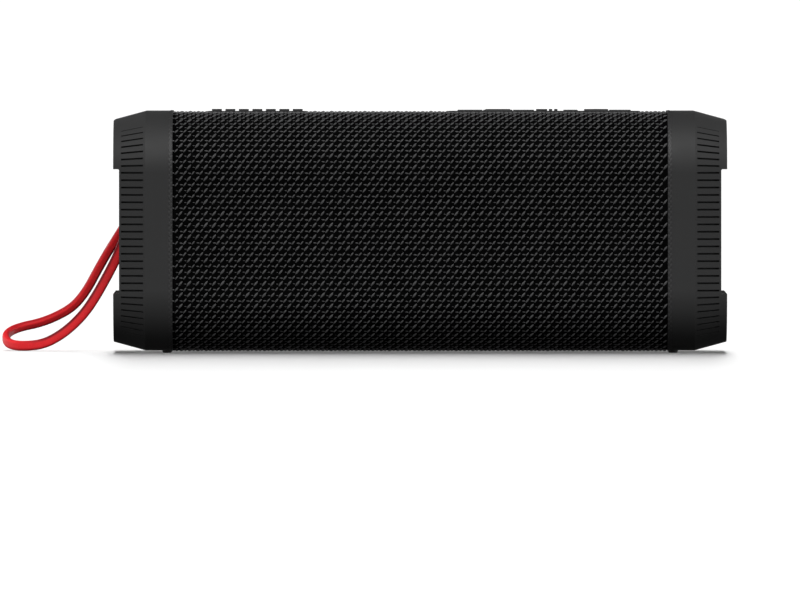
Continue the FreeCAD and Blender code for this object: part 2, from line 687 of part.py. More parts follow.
def pairing_key():
    cap, flange = key_cap("pairing", KEY_LOW)
    centre = V(30.2, 0, 0)
    icon = [arc_band(centre, radius, 0.35, -45, 90) for radius in (0.9, 1.8, 2.7)]
    return joined([cap, flange]).cut(engraved(icon, KEY_LOW))


def play_key():
    cap, flange = key_cap("play", 0)
    low, high = TOP_Z - 0.2, TOP_Z + KEY_HIGH
    corners = [V(35.3, -2.1, low), V(38.7, 0, low), V(35.3, 2.1, low), V(35.3, -2.1, low)]
    triangle = Part.Face(Part.makePolygon(corners)).extrude(V(0, 0, high - low))
    bars = [raised((x, x + 1.0), 2.1, 0) for x in (39.2, 40.8)]
    return joined([cap, flange, triangle] + bars)


def link_key():
    cap, flange = key_cap("link", KEY_LOW)
    icon = [arc_band(V(x, 0, 0), 0.9, 0.3, 0, 360) for x in (45.2, 46.35)]
    return joined([cap, flange]).cut(engraved(icon, KEY_LOW))


def volume_up_key():
    cap, flange = key_cap("volume_up", KEY_LOW)
    across = raised((49.95, 57.2), KEY_BAR_HALF, KEY_LOW)
    upright = raised(about(53.6, KEY_BAR_HALF), 3.4, KEY_LOW)
    return joined([cap, flange, across, upright])


def sound_key():
    cap, flange = key_cap("sound", KEY_LOW)
    bars = ((59.0, 1.0), (60.1, 2.1), (61.2, 1.4), (62.3, 0.7))
    icon = [block((x, x + 0.5), about(0, half), (0, 1)) for x, half in bars]
    return joined([cap, flange]).cut(engraved(icon, KEY_LOW))


def key_board():
    low = KEY_BOARD_TOP - KEY_BOARD
    board = rounded_block((5.4, 70.2), (-6.4, 6.4), (low, KEY_BOARD_TOP), 1.5, UP)
    return board.cut(upright_rods(key_board_screw_places(), KEY_BOARD_CLEAR, low - 1, low + 3))


def key_switches():
    """One tactile switch under each key, and the microphone beside them."""
    found = []
    switch_half, switch_height = 1.9, 1.6
    for x0, x1 in KEY_SPANS.values():
        x, top = (x0 + x1) / 2, KEY_BOARD_TOP + switch_height
        body = block(about(x, switch_half), about(0, switch_half), (KEY_BOARD_TOP, top))
        plunger = Part.makeCylinder(0.9, 1.1, V(x, 0, top))
        found.append(body.fuse(plunger).removeSplitter())
    microphone = block((48.0, 50.5), (3.0, 5.0), (KEY_BOARD_TOP, KEY_BOARD_TOP + 1.0))
    return Part.makeCompound(found + [microphone])


def key_board_screws():
    low = KEY_BOARD_TOP - KEY_BOARD
    return Part.makeCompound([
        screw(V(x, y, low), UP, 0.6, 4.0, 1.2, 0.8) for x, y in key_board_screw_places()
    ])


# --- Rear port -------------------------------------------------------------------------------------
def port_board_screw_places():
    return [(x, AXIS_Z) for x in (-14.2, 14.9)]


def port_cover():
    """The rubber door over the sockets, which turns on a pin in its rounded edge."""
    zs = about(AXIS_Z, DOOR_HALF_HEIGHT)
    leaf = block((HINGE_X, DOOR_HALF_LENGTH), (HALF_DEPTH - DOOR, HALF_DEPTH), zs)
    far = [e for e in leaf.Edges if abs(e.tangentAt(0).y) > 0.99 and e.CenterOfMass.x > 0]
    leaf = leaf.makeFillet(DOOR_CORNER, far)
    knuckle = rod(DOOR / 2, V(HINGE_X, HINGE_Y, zs[0]), V(HINGE_X, HINGE_Y, zs[1]))
    back_y = HALF_DEPTH - DOOR
    lip_xs, lip_half, lip_wall = (-11.5, 15.2), 4.2, 1.2
    lip = block(lip_xs, (back_y - 1.0, back_y + 0.3), about(AXIS_Z, lip_half))
    core_xs = (lip_xs[0] + lip_wall, lip_xs[1] - lip_wall)
    core = block(core_xs, (0, back_y), about(AXIS_Z, lip_half - lip_wall))
    body = joined([leaf, knuckle, lip.cut(core)])
    groove_xs = (DOOR_HALF_LENGTH - 1.3, DOOR_HALF_LENGTH - 0.6)
    nail_groove = block(groove_xs, (HALF_DEPTH - 0.5, DEPTH), about(AXIS_Z, 3))
    pin_hole = rod(PIN_RADIUS + 0.05, V(HINGE_X, HINGE_Y, 0), V(HINGE_X, HINGE_Y, HEIGHT))
    return body.cut([nail_groove, pin_hole])


def port_cover_pin():
    reach = DOOR_HALF_HEIGHT + DOOR_GAP + 1.0
    return rod(PIN_RADIUS, V(HINGE_X, HINGE_Y, AXIS_Z - reach), V(HINGE_X, HINGE_Y, AXIS_Z + reach))


def port_board():
    board = block((-17.5, 18.5), (PORT_BOARD_Y, PORT_BOARD_Y + BOARD), about(AXIS_Z, 7.5))
    return board.cut(level_rods(port_board_screw_places(), PORT_CLEAR, 0, DEPTH))


def port_board_screws():
    return Part.makeCompound([
        screw(V(x, PORT_BOARD_Y, z), BACK, 0.7, 5.0, 1.4, 0.9) for x, z in port_board_screw_places()
    ])


def usb_socket():
    """The charging socket: a rounded steel shell with a contact tongue inside."""
    start = PORT_BOARD_Y + BOARD
    shell = rounded_block(about(USB_X, 4.45), (start, SOCKET_FACE_Y), about(AXIS_Z, 1.6), 1.5, BACK)
    mouth = rounded_block(about(USB_X, 4.15), (start + 1, DEPTH), about(AXIS_Z, 1.3), 1.25, BACK)
    tongue = block(about(USB_X, 3.3), (start + 0.5, SOCKET_FACE_Y - 0.6), about(AXIS_Z, 0.35))
    return joined([shell.cut(mouth), tongue])


def aux_socket():
    """The round audio socket on its block."""
    start = PORT_BOARD_Y + BOARD
    body = block(about(AUX_X, 3.2), (start, BAY_FLOOR_Y - BAY_WALL - 0.1), about(AXIS_Z, 3.0))
    barrel = rod(2.9, V(AUX_X, start, AXIS_Z), V(AUX_X, SOCKET_FACE_Y, AXIS_Z))
    hole = rod(1.8, V(AUX_X, start + 0.6, AXIS_Z), V(AUX_X, DEPTH, AXIS_Z))
    return joined([body, barrel]).cut(hole)


# --- Drivers ---------------------------------------------------------------------------------------
def driver_origin(side):
    return V(side * DRIVER_X, DRIVER_FRONT_Y, AXIS_Z)


def driver_screw_places():
    reach = DRIVER_SCREW_CIRCLE * math.sqrt(0.5)
    corners = [V(dx * reach, 0, dz * reach) for dx in (-1, 1) for dz in (-1, 1)]
    return [driver_origin(side) + corner for side in (-1, 1) for corner in corners]


def driver_basket(side):
    """The steel frame: flange, four legs and the ring that holds the motor."""
    profile = (
        (17.2, 0), (DRIVER_RADIUS, 0), (DRIVER_RADIUS, FLANGE), (19.0, FLANGE), (15.9, 9.0), (15.9, 10.2),
        (8.5, 10.2), (8.5, 9.2), (14.9, 9.2), (14.9, 8.8), (17.2, 1.4),
    )
    frame = turned(profile, driver_origin(side), BACK)
    cuts = [rod(DRIVER_CLEAR, p - BACK, p + V(0, 3, 0)) for p in driver_screw_places()]
    centre = driver_origin(side)
    for turn in range(4):
        opening = block(about(centre.x, 5.5), about(centre.y + 5.0, 2.6), (AXIS_Z + 10, AXIS_Z + 24))
        opening.rotate(centre, BACK, turn * 90)
        cuts.append(opening)
    return frame.cut(cuts)


def driver_gasket(side):
    seal = ring(DRIVER_HOLE + 0.1, DRIVER_RADIUS, FLANGE, DRIVER_GASKET, driver_origin(side), BACK)
    return seal.cut([rod(DRIVER_CLEAR, p - BACK, p + V(0, 3, 0)) for p in driver_screw_places()])


def driver_surround(side):
    """The rubber half roll that the cone hangs on."""
    profile = (
        (18.4, -0.02), (18.4, -0.35), (17.2, -0.35), ((15.55, -1.8), (13.9, -0.35)), (12.9, -0.35),
        (12.9, -0.05), (14.1, -0.05), ((15.55, -1.45), (17.0, -0.02)),
    )
    return turned(profile, driver_origin(side), BACK)


def driver_cone(side):
    """Cone, dust cap and voice coil, which move as one."""
    at = driver_origin(side)
    profile = (
        (13.9, 0.0), (13.9, 0.4), (13.5, 0.4), (6.5, 5.4),
        (6.5, 13.0), (6.0, 13.0), (6.0, 4.9), (12.8, 0.0),
    )
    dome_centre = at + V(0, 11.8, 0)
    dome = Part.makeSphere(9.2, dome_centre).cut(Part.makeSphere(8.8, dome_centre))
    dome = dome.common(rod(6.2, at, at + V(0, 6, 0)))
    return joined([turned(profile, at, BACK), dome])


def driver_spider(side):
    """The corrugated disc that centres the voice coil."""
    waves, inner, outer = 10, 6.6, 13.0
    points = []
    for k in range(waves + 1):
        points.append((inner + k * (outer - inner) / waves, 8.88 - 0.45 * (k % 2)))
    points.append((14.6, 8.88))
    back = [(r, a + 0.3) for r, a in reversed(points)]
    return turned(tuple(points + back), driver_origin(side), BACK)


def driver_motor(side):
    """Top plate, ring magnet and yoke with its pole."""
    at = driver_origin(side)
    top_plate = ring(7.0, 14.0, 10.2, 3.0, at, BACK)
    magnet = ring(8.6, 14.5, 13.2, 6.0, at, BACK)
    yoke = turned(((0, 10.6), (5.6, 10.6), (5.6, 19.2), (14.0, 19.2), (14.0, 22.0), (0, 22.0)), at, BACK)
    return Part.makeCompound([top_plate, magnet, yoke])


def driver_screws():
    return Part.makeCompound([screw(p, BACK, 0.9, 6.0, 1.9, 1.2) for p in driver_screw_places()])


# --- Passive radiators -----------------------------------------------------------------------------
RADIATOR_ORIGIN = V(PLATE_FACE_X, 0, AXIS_Z)


def radiator_frame():
    """The ring on the right end plate that holds the surround's outer edge."""
    return ring(RADIATOR_HOLE, RADIATOR_RADIUS, 0, RADIATOR_FRAME, RADIATOR_ORIGIN, RIGHT)


def radiator_surround():
    """The rubber roll between the frame and the weighted plate."""
    top = RADIATOR_FRAME
    profile = ((19.4, top), (19.4, top + 0.5), (16.9, top + 0.5), ((14.75, top + 2.1), (12.6, top + 0.5)),
               (11.0, top + 0.5), (11.0, top), (13.1, top), ((14.75, top + 1.6), (16.4, top)))
    return turned(profile, RADIATOR_ORIGIN, RIGHT)


def radiator_plate():
    """The metal plate and its weight, clamped through the middle of the surround."""
    top = RADIATOR_FRAME
    profile = (
        (0, top - 1.6), (9.0, top - 1.6), (9.0, top - 0.05), (10.9, top - 0.05), (10.9, top + 0.55),
        (12.3, top + 0.55), (12.3, top + 0.9), (11.9, top + 1.3), (9.4, top + 1.3), (8.8, top + 0.9),
        (0, top + 0.9),
    )
    return turned(profile, RADIATOR_ORIGIN, RIGHT)


# --- Battery and boards ----------------------------------------------------------------------------
def battery_cells():
    """Two cells, each with the raised button of its positive end."""
    cells = []
    for y in CELL_YS:
        can = rod(CELL_RADIUS, V(-CELL_HALF_LENGTH, y, CELL_Z), V(CELL_HALF_LENGTH - 1, y, CELL_Z))
        button = rod(2.8, V(0, y, CELL_Z), V(CELL_HALF_LENGTH, y, CELL_Z))
        cells.append(joined([can, button]))
    return Part.makeCompound(cells)


def battery_tray():
    """The cradle on the housing's floor."""
    reach = CELL_HALF_LENGTH + 1.5
    ys = (CELL_YS[0] - CELL_RADIUS - 1.2, HALF_DEPTH)
    bed = block(about(0, reach), ys, (0, CELL_Z - 4.0)).common(prism(-reach, reach, WALL_IN + 0.1))
    half = CELL_HALF_LENGTH + 0.1
    beds = [rod(CELL_RADIUS + 0.1, V(-half, y, CELL_Z), V(half, y, CELL_Z)) for y in CELL_YS]
    lightening = block((-reach + 8, reach - 8), (CELL_YS[0] - 3, CELL_YS[0] + 3), (0, CELL_Z))
    return bed.cut(beds + [lightening])


def main_board():
    reach = MAIN_BOARD_HALF_LENGTH
    board = rounded_block(about(0, reach), MAIN_BOARD_YS, (MAIN_BOARD_Z, MAIN_BOARD_Z + BOARD), 2.0, UP)
    return board.cut(upright_rods(main_board_screw_places(), MAIN_BOARD_CLEAR, 0, HEIGHT))


def board_parts():
    """What stands on the main board: radio can, amplifiers, inductors, capacitors, plugs."""
    top = MAIN_BOARD_Z + BOARD
    radio_can = ((-8, 6), (-6, 5), 2.4)
    amplifiers = [(about(x, 3.5), (-4, 3), 1.0) for x in (-18.5, 15.5)]
    charger = ((24, 28), (4, 8), 0.9)
    plugs = [(about(x, 3), (7.5, 10.5), 3.2) for x in (-11, -3, 31)]
    boxes = [radio_can, charger] + amplifiers + plugs
    found = [block(xs, ys, (top, top + height)) for xs, ys, height in boxes]
    inductor_zs = (top, top + 2.8)
    for x in (-27, -20.5, 12, 18):
        found.append(rounded_block(about(x, 2.5), (4.0, 9.0), inductor_zs, 0.8, UP))
    found += [Part.makeCylinder(2.5, 5.4, V(x, -5, top)) for x in (-33, 33)]
    return Part.makeCompound(found)


def main_board_screws():
    return Part.makeCompound([
        screw(V(x, y, MAIN_BOARD_Z), UP, 0.85, 6.0, 1.7, 1.1) for x, y in main_board_screw_places()
    ])


# --- Wrist strap -----------------------------------------------------------------------------------
def strap_anchor():
    """The insert in the left end cap: a cup that the strap hangs from, with its two sockets."""
    shell = block((-FACE_X + END_WALL + 0.1, ANCHOR_X[1]), ANCHOR_Y, ANCHOR_Z)
    head = strap_slot(-0.15).common(block(ANCHOR_X, ANCHOR_Y, (STRAP_FACE_Z, ANCHOR_Z[1])))
    open_part = block((-LENGTH, ANCHOR_X[1] - ANCHOR_WALL), ANCHOR_Y, (ANCHOR_Z[0], STRAP_FACE_Z))
    cup = strap_slot(-0.15).common(open_part)
    body = joined([shell.cut(cup), head])
    points = [V(*p) for p in STRAP_ROUTE]
    ends = ((points[0], points[1]), (points[-1], points[-2]))
    return body.cut([rod(STRAP_SOCKET_RADIUS, start, towards) for start, towards in ends])


def wrist_strap():
    """The cord: straight runs joined by tangent arcs, each as large as its two runs allow."""
    points = [V(*p) for p in STRAP_ROUTE]
    edges, here, radii = [], points[0], []
    for before, corner, after in zip(points, points[1:], points[2:]):
        back, ahead = before - corner, after - corner
        shorter = min(back.Length, ahead.Length)
        back.normalize()
        ahead.normalize()
        half_turn = (math.pi - back.getAngle(ahead)) / 2
        cut = 0.45 * shorter
        radius = cut / math.tan(half_turn)
        radii.append(round(radius, 1))
        enter, leave = corner + back * cut, corner + ahead * cut
        inward = (back + ahead).normalize()
        middle = corner + inward * (radius / math.cos(half_turn) - radius)
        edges.append(Part.LineSegment(here, enter).toShape())
        edges.append(Part.Arc(enter, middle, leave).toShape())
        here = leave
    edges.append(Part.LineSegment(here, points[-1]).toShape())
    path = Part.Wire(edges)
    disc = Part.Wire(Part.makeCircle(STRAP / 2, points[0], points[1] - points[0]))
    tube = path.makePipeShell([disc], SOLID, False)
    area = math.pi * (STRAP / 2) ** 2
    print("strap length", round(path.Length, 1), "volume over section x length",
          round(tube.Volume / (area * path.Length), 4))
    print("strap radii", radii)
    return tube


# --- The assembly ----------------------------------------------------------------------------------
def nodes():
    """Every sub-part by name."""
    found = {
        "front_housing": front_housing(),
        "rear_housing": rear_housing(),
        "housing_seal": housing_seal(),
        "housing_screws": housing_screws(),
        "front_grille": front_grille(),
        "fabric_wrap": fabric_wrap(),
        "relief_strip": relief_strip(),
        "key_frame": key_frame(),
        "power_key": power_key(),
        "volume_down_key": volume_down_key(),
        "pairing_key": pairing_key(),
        "play_key": play_key(),
        "link_key": link_key(),
        "volume_up_key": volume_up_key(),
        "sound_key": sound_key(),
        "key_board": key_board(),
        "key_switches": key_switches(),
        "key_board_screws": key_board_screws(),
        "port_cover": port_cover(),
        "port_cover_pin": port_cover_pin(),
        "port_board": port_board(),
        "port_board_screws": port_board_screws(),
        "usb_socket": usb_socket(),
        "aux_socket": aux_socket(),
        "battery_cells": battery_cells(),
        "battery_tray": battery_tray(),
        "main_board": main_board(),
        "board_parts": board_parts(),
        "main_board_screws": main_board_screws(),
        "driver_screws": driver_screws(),
        "end_screws": end_screws(),
        "strap_anchor": strap_anchor(),
        "wrist_strap": wrist_strap(),
    }
    mirrored_parts = (
        end_cap, foot, end_plate, end_gasket, radiator_frame, radiator_surround, radiator_plate,
    )
    driver_parts = (
        driver_basket, driver_gasket, driver_surround, driver_cone, driver_spider, driver_motor,
    )
    for part in mirrored_parts:
        shape = part()
        found[f"right_{part.__name__}"] = shape
        found[f"left_{part.__name__}"] = mirrored(shape)
    for part in driver_parts:
        found[f"right_{part.__name__}"] = part(1)
        found[f"left_{part.__name__}"] = part(-1)
    found["left_end_cap"] = found["left_end_cap"].cut(strap_slot(0))
    return found


os.makedirs("parts", exist_ok=True)
for name, shape in nodes().items():
    shape.exportStep(f"parts/{name}.step")
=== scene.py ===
"""The looks of a portable shower speaker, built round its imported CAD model. Metres; front is -Y."""

import json
import math

import bmesh
import bpy
import numpy as np
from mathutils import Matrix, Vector


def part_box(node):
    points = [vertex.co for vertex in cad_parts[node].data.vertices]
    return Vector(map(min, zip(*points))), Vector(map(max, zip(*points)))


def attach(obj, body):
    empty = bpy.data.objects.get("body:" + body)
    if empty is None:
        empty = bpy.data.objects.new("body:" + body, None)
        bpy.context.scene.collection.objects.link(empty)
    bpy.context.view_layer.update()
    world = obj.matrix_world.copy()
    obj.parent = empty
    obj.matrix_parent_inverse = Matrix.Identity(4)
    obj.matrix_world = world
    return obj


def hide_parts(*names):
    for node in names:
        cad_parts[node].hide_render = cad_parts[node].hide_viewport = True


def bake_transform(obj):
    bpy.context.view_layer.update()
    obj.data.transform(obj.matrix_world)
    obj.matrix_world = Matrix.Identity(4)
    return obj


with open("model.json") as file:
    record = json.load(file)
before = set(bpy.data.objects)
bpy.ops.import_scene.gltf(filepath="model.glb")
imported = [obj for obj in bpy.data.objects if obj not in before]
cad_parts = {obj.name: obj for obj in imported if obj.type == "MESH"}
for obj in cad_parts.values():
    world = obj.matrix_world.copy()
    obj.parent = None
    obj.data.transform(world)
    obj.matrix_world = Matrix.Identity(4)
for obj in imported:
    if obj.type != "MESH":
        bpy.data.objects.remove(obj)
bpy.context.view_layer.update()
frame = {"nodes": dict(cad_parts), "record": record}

MM = 0.001
SEED = 20240

# --- Measures shared with the CAD model ----------------------------------------------------------
SEAM_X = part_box("fabric_wrap")[1].x
BODY_LOW, BODY_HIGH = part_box("right_end_cap")
HALF_DEPTH = BODY_HIGH.y
AXIS_Z = (BODY_LOW.z + BODY_HIGH.z) / 2
TOP_Z = BODY_HIGH.z
CORNER = 18.0 * MM                 # radius of the body's long edges
FLAT_Y = HALF_DEPTH - CORNER       # half of the top's flat part
FLAT_Z = TOP_Z - AXIS_Z - CORNER   # half of the front's flat part
QUARTER = math.pi * CORNER / 2     # one corner's arc
PERIMETER = 4 * (FLAT_Y + FLAT_Z + QUARTER)

# --- Camera and stage ----------------------------------------------------------------------------
LENS, SENSOR = 1000.0, 36.0
VIEW_WIDTH = 242.15 * MM   # what the frame takes in, at the front's plane
VIEW_AIM_X = -6.1 * MM
VIEW_ELEVATION = math.radians(0.85)
VIEW_RISE = 20.64 * MM     # how far the body's middle sits above the frame's
OBJECT_LIGHTS = (   # name, azimuth, elevation, strength, softness
    ("key", 0, 48, 3.8, 40),
    ("bounce", 0, -30, 0.35, 60),
    ("left", -90, 6, 1.3, 50),
    ("right", 90, 6, 1.3, 50),
    ("back_left", -135, 8, 1.7, 50),
    ("back_right", 135, 8, 1.7, 50),
)
FLOOR_LIGHT = 3.75   # what makes the paper white, shared out among the lights below
FLOOR_BASE = (0, 90, 0.15, 20)   # the part that gets in under the object, so it has no shadow
FLOOR_LIGHTS = (     # azimuth, elevation, share, softness
    (0, 50, 0.12, 40),
    (180, 84, 0.08, 12),
    (180, 72, 0.11, 12),
    (180, 60, 0.09, 10),
    (180, 50, 0.09, 10),
    (180, 39, 0.11, 9),
    (180, 29, 0.09, 8),
    (180, 20, 0.12, 7),
    (180, 14, 0.045, 5),
    (180, 11, 0.04, 4),
)

# --- Wrist strap: its route, and the section of its band -----------------------------------------
STRAP_ROUTE_MM = (
    (-87.4, 28.6, 43.9), (-89.5, 28.6, 39.3), (-92.4, 28.9, 34.6), (-95.6, 29.6, 29.5),
    (-98.7, 30.5, 24.0), (-101.8, 31.5, 18.2), (-105.8, 32.5, 13.2), (-111.2, 33.3, 10.1),
    (-116.5, 33.7, 8.1), (-121.5, 33.2, 7.1), (-125.2, 30.0, 5.8), (-126.8, 24.4, 4.0),
    (-125.4, 18.9, 1.9), (-121.0, 15.1, 1.4), (-115.0, 14.5, 2.0), (-110.0, 15.6, 4.5),
    (-105.6, 16.8, 8.0), (-102.0, 18.5, 11.9), (-99.0, 20.6, 16.4), (-96.4, 22.8, 21.0),
    (-93.8, 24.5, 25.9), (-91.4, 25.2, 31.0), (-89.8, 25.3, 35.7), (-88.7, 25.2, 40.2),
    (-87.6, 25.2, 44.2),
)
STRAP_HALF_WIDTHS = (1.3 * MM, 1.5 * MM)   # before and after the loop's far end
STRAP_HALF_THICKNESS = 1.1 * MM
STRAP_LOOP = (0.40, 0.48, 0.54, 0.62)   # shares of its length where the band turns at the far end
STRAP_FACES = ((0.0, -0.84, -0.54), (0.0, -1.0, 0.05))   # where its face looks, before and after
STRAP_STEP = 0.22 * MM    # from one ring of its points to the next
STRAP_AROUND = 44         # points in a ring
STRAP_ROUNDNESS = 0.62    # of its section: 1 is an ellipse, 0 a rectangle
STRAP_ENDS = 6            # steps at each end over which its relief grows
STRAP_THREADS = 10        # threads each way round the section
STRAP_THREAD_PITCH, STRAP_RELIEF = 0.95 * MM, 0.045 * MM

# --- Fabric --------------------------------------------------------------------------------------
CLOTH_INSET = 0.42 * MM
CLOTH_THICKNESS = 0.6 * MM
BOTTOM_SLACK = 0.38 * MM   # how much lower it lies along the bottom
BOTTOM_FROM = 0.9          # how far down the skin faces where that slack starts
BOTTOM_BAND = 0.08         # and how much further down it faces where the slack is whole
FLAT_WELD, SEAM_WELD = 1e-7, 1e-6      # how near points are joined, flat and once wrapped
TOP_OPENINGS = (("key_frame", 3.1 * MM), ("relief_strip", 1.6 * MM))   # node, corner radius
OPENING_GAP = 0.1 * MM
DOOR_OPENING = (19.8 * MM, 8.3 * MM)   # half its length and half its height
DOOR_CORNER = 4.6 * MM
CORNER_STEPS = 8

# --- Weave: two kinds of raised yarn, in rows round the body -------------------------------------
ROWS = 144
COLUMN_PITCH = 2.53 * MM
WEAVE_PHASE = (-0.43 * MM, -0.70 * MM)   # along the body and round it
FLOAT = {"half_length": 0.98 * MM, "half_width": 0.34 * MM, "height": 0.34 * MM,
         "stations": 8, "strands": 5}
DASH = {"half_length": 0.62 * MM, "half_width": 0.27 * MM, "height": 0.20 * MM,
        "stations": 5, "strands": 3}
YARNS = (   # shape, lean, offset, how much larger in odd rows and smaller in even ones
    (FLOAT, math.radians(53), (0.0, 0.0), 0.12),
    (DASH, math.radians(-8), (-1.05 * MM, -0.1 * MM), -0.12),
)
YARN_OUTLINE = (1.8, 0.8)            # powers of its outline: an ellipse's are 2 and 0.5
TIP_WIDTH, TIP_HEIGHT = 0.06, 0.1    # a yarn's ends, as shares of its middle
YARN_SINK = 0.08 * MM                # how deep its foot lies in the ground cloth
YARN_STRAY, YARN_VARIETY = 0.03 * MM, 0.05   # spread of its place, and of its size
OPENING_MARGIN, SEAM_MARGIN = 0.75 * MM, 0.35 * MM   # bare ground at openings and seams
PANELS = ("front", "top", "back", "bottom")

# --- Seam beads ----------------------------------------------------------------------------------
BEAD_WIDTH, BEAD_HEIGHT = 1.3 * MM, 0.16 * MM
BEAD_OVERLAP, BEAD_SINK = 0.1 * MM, 0.03 * MM   # how far it reaches over the fabric, and in
BEAD_AROUND, BEAD_COLUMNS = 1272, 7
BEAD_DOTS = 159
DOT_ROWS = ((0.30, 0.0), (0.70, 0.5))   # place across the bead, and shift along it
DOT_ACROSS, DOT_ALONG = 0.13, 0.2       # a dot's size, in bead widths and in dots
DOT_DEPTH = 0.16 * MM

# --- Soft rings: their sections in mm, from their axes and along them ----------------------------
RADIATOR_ROLL = {"outer": 19.4, "outer_edge": 16.9, "crown": 14.75, "inner_edge": 12.6,
                 "inner": 11.0, "base": 1.6, "rise": 1.6, "thick": 0.5}
DRIVER_ROLL = {"outer": 18.4, "outer_edge": 17.2, "crown": 15.55, "inner_edge": 13.9,
               "inner": 12.9, "base": 0.03, "rise": 1.4, "thick": 0.32}
RADIATOR_BEND = (17.2 * MM, 12.3 * MM)   # radii where its bend starts and ends, in metres
DRIVER_BEND = (17.4 * MM, 13.6 * MM)
SPIDER_BEND = (14.2 * MM, 7.2 * MM)
SPIDER_FOOT, SPIDER_RIM = (6.55, 8.43), (14.6, 8.88)
SPIDER_START, SPIDER_STEP, SPIDER_POINTS = 6.6, 0.32, 21
SPIDER_MIDDLE, SPIDER_WAVE, SPIDER_THICKNESS = 8.66, 0.225, 0.28
ROLL_STEPS = 10
RADIATOR_SECTORS, DRIVER_SECTORS = 12, 8
SECTOR_STEPS = 12


# --- Small tools ---------------------------------------------------------------------------------
def new_object(name, points, faces, material):
    """A smooth mesh object from points and faces in the object's frame."""
    mesh = bpy.data.meshes.new(name)
    mesh.from_pydata([tuple(p) for p in points], [], [tuple(f) for f in faces])
    mesh.update()
    mesh.polygons.foreach_set("use_smooth", [True] * len(mesh.polygons))
    obj = bpy.data.objects.new(name, mesh)
    bpy.context.scene.collection.objects.link(obj)
    mesh.materials.append(material)
    return obj


def tube_faces(rings, around):
    """The side faces of a tube, from its rings of points."""
    faces = []
    for k in range(rings - 1):
        here, following = k * around, (k + 1) * around
        for a in range(around):
            b = (a + 1) % around
            faces.append((here + a, here + b, following + b, following + a))
    return faces


def outward_faces(obj):
    """Turns every face of a closed mesh outwards."""
    mesh = bmesh.new()
    mesh.from_mesh(obj.data)
    bmesh.ops.recalc_face_normals(mesh, faces=mesh.faces)
    mesh.to_mesh(obj.data)
    mesh.free()


def skin(s, inset=0.0, slack=0.0):
    """Where a distance round the body lies, from the front's middle upwards, as y, z and the
    outward normal's y and z. Slack is how much less the inset is along the bottom. Arrays in,
    arrays out."""
    s = np.mod(np.asarray(s, float), PERIMETER)
    near = 1e-9
    stretches = (
        (FLAT_Z, -1, 0, "flat"), (QUARTER, -1, 1, "arc"), (2 * FLAT_Y, 0, 1, "flat"),
        (QUARTER, 1, 1, "arc"), (2 * FLAT_Z, 1, 0, "flat"), (QUARTER, 1, -1, "arc"),
        (2 * FLAT_Y, 0, -1, "flat"), (QUARTER, -1, -1, "arc"), (FLAT_Z, -1, 0, "flat"),
    )
    y, z = np.zeros_like(s), np.zeros_like(s)
    ny, nz = np.zeros_like(s), np.zeros_like(s)
    start, corner_y, corner_z, angle = 0.0, -HALF_DEPTH, 0.0, math.pi
    for length, sy, sz, form in stretches:
        here = (s >= start - near) & (s <= start + length + near)
        run = s[here] - start
        if form == "flat":
            y[here] = corner_y + run * math.sin(angle)
            z[here] = corner_z - run * math.cos(angle)
            turned = np.full_like(run, angle)
            corner_y += length * math.sin(angle)
            corner_z -= length * math.cos(angle)
        else:
            turned = angle - run / CORNER
            y[here] = sy * FLAT_Y + CORNER * np.cos(turned)
            z[here] = sz * FLAT_Z + CORNER * np.sin(turned)
            angle -= math.pi / 2
            corner_y = sy * FLAT_Y + CORNER * math.cos(angle)
            corner_z = sz * FLAT_Z + CORNER * math.sin(angle)
        ny[here], nz[here] = np.cos(turned), np.sin(turned)
        start += length
    inset = inset - slack * np.clip((-nz - BOTTOM_FROM) / BOTTOM_BAND, 0, 1)
    return y - ny * inset, AXIS_Z + z - nz * inset, ny, nz


